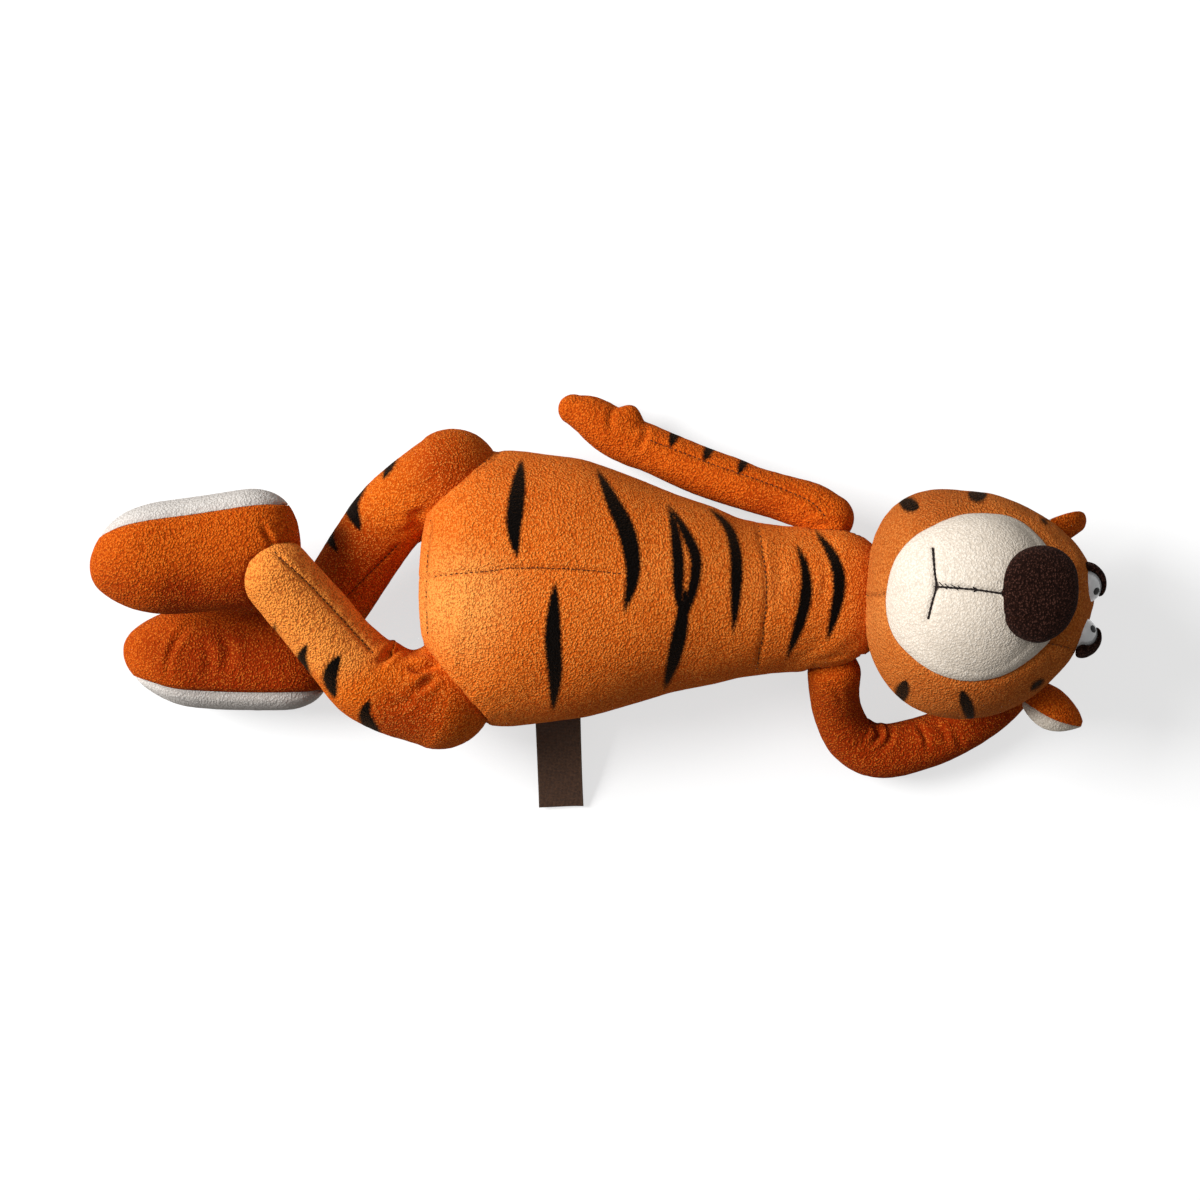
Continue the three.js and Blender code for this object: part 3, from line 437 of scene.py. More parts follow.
def seam_field(places, seams, wide=1.0, ruck=0.16):
    """A sewn line draws the cloth in. Returns the sink in mm, -exp(-(d / wide) ** 2), with small
    rucks beside it that fade out over RUCK_REACH, a mask of the line, and the distance to it."""
    sink = np.zeros(places.shape[:-1])
    mask = np.zeros(places.shape[:-1])
    least = np.full(places.shape[:-1], FAR)
    for deep, *points in seams:
        line = line_of(points)
        length = np.linalg.norm(np.diff(line, axis=0), axis=1).sum() * PX
        far, share = near_line(places, line)
        far = far * PX
        ends = np.clip(np.minimum(share, 1 - share) * 12 + 0.25, 0, 1)
        line_in = np.exp(-((far / wide) ** 2)) * ends
        sink -= deep * line_in
        waves = np.sin(2 * np.pi * share * length / RUCK_PITCH + 5 * np.sin(share * 7) + 0.5 * far)
        sink += ruck * deep * waves * np.exp(-far / RUCK_REACH) * (1 - line_in) * ends
        mask = np.maximum(mask, np.exp(-((far / (0.45 * wide)) ** 2)) * ends)
        least = np.minimum(least, far)
    return sink, mask, least


def crease(places, folds):
    """Soft folds at a bend: each is a line with a depth, sinking as -exp(-(d / wide) ** 2) and
    swelling beside it."""
    sink = np.zeros(places.shape[:-1])
    for deep, wide, *points in folds:
        far, share = near_line(places, line_of(points))
        far = far * PX
        ends = np.sin(np.pi * np.clip(share, 0.02, 0.98))
        shape = np.exp(-((far / wide) ** 2)) - 0.45 * np.exp(-(((far - 2 * wide) / wide) ** 2))
        sink -= deep * shape * ends
    return sink


def spots(places, marks):
    """A soft field from round spots: each is x, y, its reach in mm and its value, and adds
    value * exp(-(distance / reach) ** 2)."""
    field = np.zeros(places.shape[:-1])
    for x, y, reach, value in marks:
        far = np.linalg.norm(places - np.array([x, y]), axis=-1) * PX
        field += value * np.exp(-((far / reach) ** 2))
    return field


def plush_lumps(grid, soft, seed):
    """Height of the pile over the cloth: stuffing lumps of 30 and 14 mm and tufts of 2 mm."""
    big = soft * noise(grid, 31, seed) + 0.25 * soft * noise(grid, 14, seed + 1)
    return big + 0.07 * noise(grid, 3.4, seed + 2) + 0.06 * noise(grid, 1.9, seed + 3)


def raised(grid, normal, soft, seed, sink=0.0):
    """The cloth pushed out by its lumps and its pile, and drawn in where a seam or fold sinks."""
    return grid + normal * (sink + plush_lumps(grid, soft, seed))[..., None]


# %% [markdown]
# Real plush is cut a little too large, sewn, and blown round by its stuffing, and the extra
# cloth buckles between the seams. We let Blender's cloth do the same on a coarse copy: seams and
# ends are pinned, the cloth grows by a few per cent, and an even pressure pushes it out. How far
# each point moved is then laid over the fine skin, less its broad part, so the toy keeps its
# measured outline and takes the buckles. No cloth modifier stays in the scene.

# %% Stuffing with cloth
SIM_FRAMES = 20
SIM_CAP = 3.0
SIM_PRESSURE = 4.0


def blown(name, grid, pins, growth, pressure):
    """The cloth run itself, on a coarse closed skin: returns how far each point moved, in mm."""
    rows, columns = grid.shape[:2]
    points, faces = closed_faces(grid)
    mesh = bpy.data.meshes.new(name)
    mesh.from_pydata((points * MM).tolist(), [], faces)
    body = bpy.data.objects.new(name, mesh)
    bpy.context.scene.collection.objects.link(body)
    held = body.vertex_groups.new(name="held")
    fixed = np.concatenate([[True], pins[1:-1].ravel(), [True]])
    held.add([int(i) for i in np.flatnonzero(fixed)], 1.0, "REPLACE")
    cloth = body.modifiers.new("cloth", "CLOTH")
    how = cloth.settings
    how.quality, how.mass, how.air_damping = 5, 0.15, 3.0
    how.tension_stiffness = how.compression_stiffness = 12
    how.bending_stiffness, how.bending_damping = 0.25, 0.6
    how.vertex_group_mass = "held"
    how.shrink_min = -growth
    how.use_pressure, how.uniform_pressure_force = True, pressure
    how.effector_weights.gravity = 0
    cloth.point_cache.frame_end = SIM_FRAMES
    for frame_number in range(1, SIM_FRAMES + 1):
        bpy.context.scene.frame_set(frame_number)
    seen = body.evaluated_get(bpy.context.evaluated_depsgraph_get()).data
    after = np.empty(len(points) * 3, np.float32)
    seen.vertices.foreach_get("co", after)
    moved = after.reshape(-1, 3) / MM - points
    bpy.data.objects.remove(body)
    bpy.data.meshes.remove(mesh)
    bpy.context.scene.frame_set(1)
    ends = [np.repeat(moved[:1], columns, 0)[None], np.repeat(moved[-1:], columns, 0)[None]]
    return np.concatenate([ends[0], moved[1:-1].reshape(rows - 2, columns, 3), ends[1]])


def spread_out(coarse, row_at, rows, columns):
    """A coarse grid of moves on the fine grid: smooth curves down the rows, then round them."""
    tall = through(row_at, coarse)(np.arange(rows))
    count = coarse.shape[1]
    wide = np.concatenate([tall[:, -2:], tall, tall[:, :3]], 1).swapaxes(0, 1)
    at = np.linspace(0, count, columns, endpoint=False)
    return through(np.arange(-2, count + 3), wide)(at).swapaxes(0, 1)


def blurred(field, times):
    """Each point's average with its four neighbours, again and again; round the rings it wraps."""
    for _ in range(times):
        tall = np.concatenate([field[:1], field, field[-1:]])
        field = (tall[:-2] + tall[2:] + np.roll(field, 1, 1) + np.roll(field, -1, 1)) / 4
    return field


def stuffed(name, grid, near_seam, coarse=(44, 56), growth=0.06, share=0.5):
    rows, columns = grid.shape[:2]
    row_at = np.linspace(0, rows - 1, coarse[0]).round().astype(int)
    column_at = (np.arange(coarse[1]) * columns / coarse[1]).astype(int)
    small = grid[row_at][:, column_at]
    pins = near_seam[row_at][:, column_at]
    pins[:2], pins[-2:] = True, True
    moved = blown(f"{name}_cloth", small, pins, growth, SIM_PRESSURE)
    moved = moved - blurred(moved, 10)
    far = np.linalg.norm(moved, axis=-1, keepdims=True)
    moved = moved * np.minimum(1, SIM_CAP / np.maximum(far, 1e-6))
    print(f"{name}: cloth moved {far.mean():.2f} mm on average, {far.max():.2f} mm at most")
    share = np.broadcast_to(share, (rows, columns))[..., None]
    return grid + share * spread_out(moved, row_at, rows, columns)


# %% [markdown]
# Short-pile plush is a brushed velvet: each fibre's tip is pale and shiny and its root is deep
# and dull, so the cloth looks speckled, glows where it turns away, and shows darker patches where
# it was stroked the other way. On top of that come spots of painted light and painted shade,
# paler where the toy is lit and darker where it is in shade. Colour, speckle and height go into
# one node group, because every cloth of this toy uses it with its own colours. Sheen stays in the
# material itself.

# %% Plush


def sockets(group, inputs, outputs):
    """Gives a node group its inputs and outputs, and returns the nodes that stand for them."""
    for name, kind, value in inputs:
        made = group.interface.new_socket(name, in_out="INPUT", socket_type=kind)
        made.default_value = value
    for name, kind in outputs:
        group.interface.new_socket(name, in_out="OUTPUT", socket_type=kind)
    return group.nodes.new("NodeGroupInput"), group.nodes.new("NodeGroupOutput")


def noise_node(tree, where, scale, detail=2.0, rough=0.5, warp=0.0):
    made = node(tree, "TexNoise", Vector=where, Scale=scale, Detail=detail, Roughness=rough,
                Distortion=warp)
    return made.outputs["Fac"]


def ranged(tree, value, low, high, to_low=0.0, to_high=1.0):
    """A value's way from low to high, eased, as one from to_low to to_high."""
    made = node(tree, "MapRange", Value=value, From_Min=low, From_Max=high, To_Min=to_low,
                To_Max=to_high)
    made.interpolation_type = "SMOOTHSTEP"
    return made.outputs["Result"]


def mixed(tree, share, a, b):
    """Two colours mixed, the second one by its share."""
    made = node(tree, "Mix")
    made.data_type = "RGBA"
    for place, value in ((0, share), (6, a), (7, b)):
        fill(tree, made.inputs[place], value)
    return made.outputs[2]


def pile_group():
    """The pile's colour and height. Tufts are cells bent by a slow noise, with a finer noise over
    them. Painted light over 0 turns the colour toward the tips and painted shade under 0 toward
    the roots, with a random patch of stroked pile added, and a stripe's edge is ragged by the
    tufts."""
    group = bpy.data.node_groups.new("pile", "ShaderNodeTree")
    given, out = sockets(
        group,
        [
            ("Body", "NodeSocketColor", (0.6, 0.2, 0.03, 1)),
            ("Root", "NodeSocketColor", (0.3, 0.06, 0.01, 1)),
            ("Tip", "NodeSocketColor", (0.9, 0.45, 0.15, 1)),
            ("Stroked", "NodeSocketFloat", 0.5),
            ("Stripe", "NodeSocketFloat", FAR),
            ("Seam", "NodeSocketFloat", 0.0),
            ("Nap", "NodeSocketFloat", 0.0),
        ],
        [("Color", "NodeSocketColor"), ("Height", "NodeSocketFloat")],
    )
    where = node(group, "TexCoord").outputs["Object"]
    fine = noise_node(group, where, 2000, 1, 0.5)
    wander = node(group, "TexNoise", Vector=where, Scale=420)
    little = node(group, "VectorMath", "SCALE", Scale=0.0011)
    group.links.new(wander.outputs["Color"], little.inputs[0])
    bent = node(group, "VectorMath", "ADD")
    group.links.new(where, bent.inputs[0])
    group.links.new(little.outputs[0], bent.inputs[1])
    cell = node(group, "TexVoronoi", Vector=bent.outputs[0], Scale=1020)
    patch = noise_node(group, where, 26, 1, 0.5, 0.8)
    tuft = maths(group, "SUBTRACT", 1.0, cell.outputs["Distance"])
    speckle = maths(group, "ADD", maths(group, "MULTIPLY", fine, 0.45),
                    maths(group, "MULTIPLY", tuft, 0.55))
    dark = ranged(group, speckle, 0.36, 0.54)
    pale = ranged(group, speckle, 0.52, 0.70)
    body, root, tip = (given.outputs[k] for k in ("Body", "Root", "Tip"))
    # Painted light above 0 and painted shade below 0, plus a random patch of stroked pile.
    nap = maths(group, "ADD", given.outputs["Nap"], maths(
        group, "MULTIPLY", maths(group, "SUBTRACT", patch, 0.5), given.outputs["Stroked"]))
    body = mixed(group, ranged(group, nap, 0.0, 1.0), body, tip)
    body = mixed(group, ranged(group, nap, -1.0, 0.0, 1.0, 0.0), body, root)
    gap = mixed(group, 0.40, root, body)
    colour = mixed(group, dark, gap, body)
    colour = mixed(group, maths(group, "MULTIPLY", pale, 0.62), colour, tip)
    seam = maths(group, "MULTIPLY", given.outputs["Seam"], 0.28)
    colour = mixed(group, seam, colour, (0.03, 0.008, 0.002, 1))
    ragged = maths(group, "MULTIPLY", maths(group, "SUBTRACT", speckle, 0.5), 1.6)
    edge = maths(group, "ADD", given.outputs["Stripe"], ragged)
    ink = ranged(group, edge, -1.2, 1.0, 1.0, 0.0)
    black = mixed(group, pale, (0.0012, 0.001, 0.001, 1), (0.0035, 0.003, 0.003, 1))
    colour = mixed(group, ink, colour, black)
    group.links.new(colour, out.inputs["Color"])
    group.links.new(speckle, out.inputs["Height"])
    return group


PILE = pile_group()


def plush(name, body, root, tip, stroked=0.6, tint=(1, 0.4, 0.1, 1), bump=1.0):
    """A cloth of the pile in its own colours. stroked says how patchy it is, and tint is the
    colour of its sheen."""
    material, tree, out = shader(name)
    pile = node(tree, "Group")
    pile.node_tree = PILE
    for socket, colour in (("Body", body), ("Root", root), ("Tip", tip)):
        pile.inputs[socket].default_value = (*colour, 1)
    pile.inputs["Stroked"].default_value = stroked
    # The mesh's stripe, seam and painted light and shade, each read from an attribute.
    for mark in ("Stripe", "Seam", "Nap"):
        layer = node(tree, "Attribute")
        layer.attribute_name = mark.lower()
        tree.links.new(layer.outputs["Fac"], pile.inputs[mark])
    height = node(tree, "Bump", Strength=bump, Distance=0.0013, Height=pile.outputs["Height"])
    cloth = node(tree, "BsdfPrincipled", Base_Color=pile.outputs["Color"],
                 Normal=height.outputs["Normal"], Roughness=0.92, Specular_IOR_Level=0.04,
                 Sheen_Weight=0.05, Sheen_Roughness=0.45, Sheen_Tint=tint)
    tree.links.new(cloth.outputs[0], out.inputs["Surface"])
    return material


ORANGE = plush("orange_plush", (0.79, 0.168, 0.015), (0.45, 0.053, 0.002), (1.0, 0.375, 0.078))
LEG = plush("leg_plush", (0.70, 0.130, 0.006), (0.37, 0.036, 0.001), (1.0, 0.33, 0.055))
DEEP = plush("deep_orange_plush", (0.61, 0.097, 0.004), (0.28, 0.024, 0.001), (0.90, 0.235, 0.026))
TAN = plush("tan_plush", (0.57, 0.148, 0.022), (0.36, 0.068, 0.008), (0.78, 0.28, 0.065), 0.4)
CREAM = plush("cream_plush", (0.70, 0.61, 0.505), (0.57, 0.49, 0.40), (0.87, 0.80, 0.71), 0.25,
              (1, 1, 1, 1), 0.45)
WHITE = plush("sole_plush", (0.61, 0.565, 0.52), (0.45, 0.41, 0.375), (0.77, 0.74, 0.71), 0.3,
              (1, 1, 1, 1), 0.55)
BROWN = plush("brown_plush", (0.015, 0.005, 0.003), (0.003, 0.001, 0.001), (0.10, 0.040, 0.029),
              0.3, (0.5, 0.3, 0.25, 1))
print("plush in seven colours")

# %% [markdown]
# A seam in plush shows as a valley with dark thread in it, here and there. Each stitch is a tiny
# closed loop of thread, so we shape one, and set copies of it along the seam in one mesh. Its
# finish is a rough yarn whose plies change the colour along it.

# %% Stitches
THREAD = 0.42


def thread_finish(name, colour):
    material, tree, out = shader(name)
    ply = noise_node(tree, node(tree, "TexCoord").outputs["Object"], 2600, 2, 0.6)
    dark = tuple(0.4 * c for c in colour)
    shade = mixed(tree, ranged(tree, ply, 0.35, 0.65), (*dark, 1), (*colour, 1))
    yarn = node(tree, "BsdfPrincipled", Base_Color=shade, Roughness=0.8, Specular_IOR_Level=0.2)
    tree.links.new(yarn.outputs[0], out.inputs["Surface"])
    return material


BLACK_THREAD = thread_finish("black_thread", (0.012, 0.006, 0.005))
RUST_THREAD = thread_finish("rust_thread", (0.085, 0.017, 0.004))


def stitches(name, grid, seams, body, pitch=2.3, long=0.75, thick=0.26):
    """Threads at equal steps along each line. A stitch takes the place of the four points of the
    cloth that lie nearest in the picture, weighed by 1 / d ** 2, and is an egg: along its way
    long * cos t, and across it thick * sin t."""
    cloth = grid[outward(grid)[..., 2] > 0.15]
    seen = photo_px(cloth)
    cell = np.linspace(0, np.pi, 6)[:, None]
    turn = angles(6)[None]
    egg = np.stack(np.broadcast_arrays(long * np.cos(cell), thick * np.sin(cell) * np.cos(turn),
                                       thick * np.sin(cell) * np.sin(turn)), -1)
    shape, faces = closed_faces(egg)
    faces = [np.array(f) for f in faces]
    points, joined = [], []
    for _, *marks in seams:
        line = line_of(marks, 300)
        reach = reach_along(line) * PX
        steps = np.arange(0.5 * pitch, reach[-1], pitch)
        at = np.stack([np.interp(steps, reach, line[:, k]) for k in range(2)], -1)
        far = np.linalg.norm(seen[None] - at[:, None], axis=-1)
        near = np.argsort(far, 1)[:, :4]
        weight = 1 / (np.take_along_axis(far, near, 1) ** 2 + 0.05)
        place = (cloth[near] * weight[..., None]).sum(1) / weight.sum(1, keepdims=True)
        way = unit(np.gradient(place, axis=0))
        side = unit(np.cross([0, 0, 1.0], way))
        axes = np.stack([way, side, np.cross(way, side)], 1)
        for centre, frame_of in zip(place + [0, 0, 0.12], axes):
            joined += [(f + len(points) * len(shape)).tolist() for f in faces]
            points.append(centre + shape @ frame_of)
    piece = piece_from(name, np.concatenate(points), joined, RUST_THREAD)
    if body:
        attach(piece, body)
    print(f"{name}: {len(points)} stitches")
    return piece


# %% [markdown]
# The torso is a pear: widest at the belly, narrowing to the neck, round at both ends and a little
# flat where it lies. Tables of its width, belly and back along its length are joined by smooth
# curves, and each section is a superellipse, squarer on the back than on the belly.

# %% Torso
TORSO_X = np.array([-100, -68, -42, -24.5, 11, 30, 43.5, 60, 76, 90, 112])
TORSO_HALF = np.array([56, 61.3, 60.0, 57.3, 45.2, 40.0, 36.0, 33.6, 32.6, 31.7, 30])
TORSO_TOP = np.array([80, 88.5, 90, 89, 83, 78, 74, 69.5, 66, 64.5, 63])
TORSO_LOW = np.array([3, 0, 0, 0, 0, 0, 0.5, 1.5, 4, 7, 9])
TORSO_SPINE = np.array([0, 1.2, 1.2, 0.9, -0.6, -2.2, -3.4, -4.0, -3.8, -2.8, -2.3])
TORSO_MID_SHARES = (0.45, 0.45, 0.5)
SIDE_SEAM_UP, SIDE_SEAM_END = 34, 75
FLOOR_GAP = 0.15


def torso_grid(rows, columns):
    """x runs from rump to neck; across it y = spine + half * full * cos^(2/n), and z the same
    with sine, from the widest line up to the belly and down to the back."""
    span = TORSO_X[-1] - TORSO_X[0]
    shares = (TORSO_X - TORSO_X[0]) / span
    s = eased(rows)[:, None]
    angle = angles(columns)[None]
    full = fullness(s, 0.125, 0.13, 3.0, 2.1)
    half, top, low = (through(shares, v)(s) for v in (TORSO_HALF, TORSO_TOP, TORSO_LOW))
    mid = low + (top - low) * through((0, 0.75, 1), TORSO_MID_SHARES)(s)
    above = np.sin(angle) > 0
    power = np.where(above, 2.25, 2.9)
    reach = np.where(above, top - mid, mid - low)
    y = through(shares, TORSO_SPINE)(s) + half * full * squared(np.cos(angle), power)
    z = mid + reach * full * squared(np.sin(angle), power)
    x = TORSO_X[0] + span * s + 0 * angle
    return np.stack(np.broadcast_arrays(x, y, z), -1)


TORSO_STRIPES = [
    (18, (522, 458), (516, 505), (514, 530), (517, 557)),
    (18, (555, 582), (553, 640), (555, 675), (553, 711)),
    (18.5, (597, 469), (611, 498), (627, 532), (633, 572), (624, 613)),
    (13, (668, 504), (675, 533), (678, 562), (678, 592), (682, 622)),
    (12.5, (668, 504), (684, 531), (695, 556), (695, 577), (689, 602), (680, 630)),
    (16.5, (685, 588), (681, 625), (673, 662), (664, 690)),
    (13.5, (708, 509), (727, 528), (735, 552), (736, 580), (733, 635)),
    (13.5, (797, 544), (805, 570), (806, 592), (799, 624), (786, 659)),
    (14, (815, 530), (831, 552), (839, 578), (837, 604), (827, 641)),
]
TORSO_SEAMS = [
    (1.0, (418, 578), (470, 573), (520, 568), (572, 569), (622, 574)),
    (0.9, (757, 524), (764, 560), (766, 600), (762, 640), (756, 670)),
    (1.6, (424, 512), (440, 494), (468, 473), (500, 452)),
    (1.6, (426, 655), (446, 678), (468, 700), (489, 727)),
    (1.3, (808, 527), (822, 526), (845, 527), (864, 534)),
    (1.3, (806, 672), (828, 671), (850, 666), (866, 655)),
    (0.7, (431, 518), (428, 550), (426, 600), (428, 640)),
]
TORSO_FOLDS = [
    (0.7, 2.4, (806, 560), (812, 578), (806, 598)), (0.8, 2.4, (822, 560), (826, 580), (820, 602)),
    (0.5, 3.0, (775, 540), (779, 575), (772, 615)), (0.6, 3.0, (436, 520), (448, 545), (452, 570)),
    (0.6, 3.0, (440, 640), (450, 615), (452, 590)),
]
TORSO_SLACK = [(445, 500, 16, 0.5), (450, 680, 18, 0.6), (830, 540, 14, 0.5), (830, 650, 14, 0.6)]
# Painted light and shade on the torso: each spot is x, y, reach and value, paler above 0 and darker
# below.
TORSO_NAP = [(448, 600, 30, 0.75), (500, 555, 34, 0.2), (570, 500, 40, -0.35), (475, 500, 24, -0.25),
             (555, 695, 30, -0.35), (655, 565, 22, 0.3), (600, 620, 26, 0.15),
             (650, 680, 30, -0.35), (770, 590, 24, 0.35), (780, 655, 18, -0.3), (690, 650, 24, -0.2)]
BACK_STRIPES = [
    (17, (505, 470), (515, 520), (508, 560)), (17, (560, 590), (566, 650), (560, 700)),
    (16, (600, 480), (615, 530), (608, 575)), (14, (650, 590), (660, 640), (652, 690)),
    (14, (690, 510), (700, 550), (694, 590)), (12, (735, 600), (742, 635), (738, 668)),
    (12, (775, 540), (784, 570), (780, 600)), (12, (815, 600), (822, 630), (816, 655)),
]


def on_top(field, up, least=-0.05):
    """A field of distances, kept on cloth that faces up and sent far away elsewhere."""
    return np.where(up > least, field, FAR)


TAIL_ROOT = np.array([-86.26, 2.406, 8.3])
TAIL_LINE = TAIL_ROOT + np.array([(0, 0, 0), (42, -14.4, -0.2), (84, -22.8, -0.4), (113.4, -24, -0.4)])
HOLLOW_TOP, HOLLOW_FULL, HOLLOW_EDGE = 16.8, 8.0, 13.5


def tail_hollow(grid, normal):
    """The back's dent for the tail: low cloth within reach of the tail's line is raised, fully
    near the line and less towards the dent's edge as 1 - (3t^2 - 2t^3)."""
    far, _ = near_line(grid[..., :2], line_of(TAIL_LINE[:, :2]))
    t = np.clip((far - HOLLOW_FULL) / (HOLLOW_EDGE - HOLLOW_FULL), 0, 1)
    share = (1 - eased_step(t)) * (normal[..., 2] < 0.1) * (grid[..., 2] < HOLLOW_TOP)
    return (HOLLOW_TOP - grid[..., 2]) * share


HIP_FALL, HIP_TOP = 9.0, 40.0
HIP_LINES = (((-67.3, 59.5), (-92.7, 38.5)), ((-92.7, -25.9), (-69.5, -56.6)))


def hip_corners(grid):
    """The belly ends at a hip seam, and the thigh goes on from there: with e the distance beyond
    the line, the height over HIP_TOP falls by 3t^2 - 2t^3 of (e + 0.5) / HIP_FALL."""
    share = np.zeros(grid.shape[:-1])
    for a, b in HIP_LINES:
        a, b = np.array(a), np.array(b)
        along = (b - a) / np.linalg.norm(b - a)
        beyond = (grid[..., :2] - a) @ np.array([along[1], -along[0]])
        share = np.maximum(share, eased_step(np.clip((beyond + 0.5) / HIP_FALL, 0, 1)))
    return -share * np.clip(grid[..., 2] - HIP_TOP, 0, None)


def dress(piece, body, slot, share, *nodes):
    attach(piece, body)
    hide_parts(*nodes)


def build_torso():
    grid = torso_grid(250, 330)
    grid[..., 2] += hip_corners(grid)
    normal = outward(grid)
    places = photo_px(grid)
    sink, seam, far = seam_field(places, TORSO_SEAMS)
    sink += crease(places, TORSO_FOLDS)
    up = normal[..., 2] > -0.15
    sink, seam = np.where(up, sink, 0), np.where(up, seam, 0)
    side_low = np.abs(grid[..., 2] - SIDE_SEAM_UP) + np.where(grid[..., 0] > SIDE_SEAM_END, 50, 0)
    side = np.exp(-((side_low / 0.9) ** 2)) * (np.abs(normal[..., 2]) < 0.6)
    sink -= 0.9 * side
    seam = np.maximum(seam, side * 0.5)
    held = ((far < 3) & up) | (side_low < 3)
    stripe = np.minimum(
        on_top(stripe_field(places, TORSO_STRIPES), normal[..., 2]),
        on_top(stripe_field(places, BACK_STRIPES), -normal[..., 2], 0.1),
    )
    slack = np.clip(0.12 + spots(places, TORSO_SLACK), 0, 1)
    grid = stuffed("torso", grid, held, growth=0.03, share=0.5 * slack)
    grid = raised(grid, normal, 0.8, 11, sink)
    grid[..., 2] += tail_hollow(grid, normal)
    grid[..., 2] = np.maximum(grid[..., 2], FLOOR_GAP)
    # Painted light and shade from those spots, on cloth that faces up.
    nap = spots(places, TORSO_NAP) * (normal[..., 2] > 0)
    stitches("torso_stitches", grid, TORSO_SEAMS, "torso")
    torso = skin("torso_plush", grid, ORANGE, stripe=stripe, seam=seam, nap=nap)
    dress(torso, "torso", "orange_plush", 0.75, "torso_cover", "torso_stuffing")


build_torso()

# %% [markdown]
# A limb is a tube along a bent path: rings stand across the path, and half balls close its ends.
# Each limb starts in a ball round its joint, half hidden in the body, so it can turn there
# without a gap. Tables give the path and the radius, across and upright.

# %% Limbs


def limb_grid(points, radii, rows, columns, cap=14):
    """Rings across a smooth path: side = up x tangent, lift = tangent x side, and a point is
    centre + side * a cos + lift * u sin. At the ends the rings shrink as a half circle."""
    points, radii = np.asarray(points, float), np.asarray(radii, float)
    reach = reach_along(points)
    place = through(reach / reach[-1], points)
    size = through(reach / reach[-1], radii)
    t = np.linspace(0, 1, rows)
    bend = np.linspace(0, np.pi / 2, cap, endpoint=False)
    t_all = np.r_[0 * bend, t, 0 * bend + 1]
    share = np.r_[np.sin(bend), 1 + 0 * t, np.sin(bend)[::-1]]
    push = np.r_[-np.cos(bend), 0 * t, np.cos(bend)[::-1]]
    step = 1e-3
    tangent = unit(place(np.clip(t_all + step, 0, 1)) - place(np.clip(t_all - step, 0, 1)), 0)
    side = unit(np.cross([0, 0, 1], tangent), 0)
    lift = np.cross(tangent, side)
    radius = size(t_all)
    centre = place(t_all) + tangent * (push * radius.min(1))[:, None]
    angle = angles(columns)
    across = side[:, None] * (radius[:, 0] * share)[:, None, None] * np.cos(angle)[None, :, None]
    upright = lift[:, None] * (radius[:, 1] * share)[:, None, None] * np.sin(angle)[None, :, None]
    return centre[:, None] + across + upright


def pivot(joint):
    """The joint's place in mm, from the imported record."""
    found = [j for j in frame["joints"] if j["name"] == joint]
    return np.array(found[0]["pos_m"]) / MM


# %% [markdown]
# A leg is a tube from the hip's ball to the ankle, bowed a little sideways. Where the picture
# shows the thigh pinched, the tube is first drawn in round that spot. Its seam, its folds and its
# stripes come after that.

# %% Legs
LEG_ALONG = np.array([0, 0.3, 0.5, 0.72, 1])
LEG_BULGE = np.array([0, 1, 0.9, 0.5, 0])
LEG_RADII = {
    "right": [(21.5, 25.5), (17.8, 19.5), (17, 17.6), (16.6, 16.6), (15.8, 15.8)],
    "left": [(24.4, 27), (19.8, 20.5), (17.2, 17.6), (16.6, 16.6), (15.8, 15.8)],
}
HIP_SHIFT = {"right": np.array([2.3, 0.5, 4]), "left": np.array([2.4, -0.9, 6])}
ANKLE_LIFT = {"right": 0.0, "left": 4.5}
LEG_BOW = {"right": -0.09, "left": 0.135}


def leg_points(side):
    """From hip to ankle, bowed sideways: hip + s * way + bow * bulge(s). The hip's ball lies a
    little off its pivot, and the upper shank lies on top of its foot."""
    hip = pivot(f"{side}_hip") + HIP_SHIFT[side]
    ankle = pivot(f"{side}_ankle") + np.array([0, 0, ANKLE_LIFT[side]])
    way = ankle - hip
    bow = np.array([-way[1], way[0], 0]) * LEG_BOW[side]
    return hip + LEG_ALONG[:, None] * way + LEG_BULGE[:, None] * bow


def build_leg(side, stripes, seams, folds, pinches, nap, seed):
    """A leg's tube with its marks, all in pixels; a pinch draws the tube in round a spot."""
    grid = limb_grid(leg_points(side), LEG_RADII[side], 190, 150)
    normal, places = outward(grid), photo_px(grid)
    grid = grid - normal * spots(places, pinches)[..., None]
    normal, places = outward(grid), photo_px(grid)
    up = normal[..., 2]
    sink, seam, far = seam_field(places, seams)
    sink = np.where(up > 0, sink + crease(places, folds), 0)
    stripe = on_top(stripe_field(places, stripes), up, -0.8)
    slack = np.clip(0.1 + spots(places, [(*folds[0][2], 17, 0.8)]), 0, 1)
    grid = stuffed(f"{side}_leg", grid, (far < 2.5) & (up > 0), (36, 32), 0.04, 0.5 * slack)
    grid = raised(grid, normal, 0.6, seed, sink)
    stitches(f"{side}_leg_stitches", grid, seams, f"{side}_leg")
    # Painted light and shade from the leg's spots.
    leg = skin(f"{side}_leg_plush", grid, LEG, stripe=stripe, seam=np.where(up > 0, seam, 0),
               nap=spots(places, nap) * (up > -0.2))
    dress(leg, f"{side}_leg", "deep_orange_plush", 0.7, f"{side}_leg_cover", f"{side}_leg_stuffing")


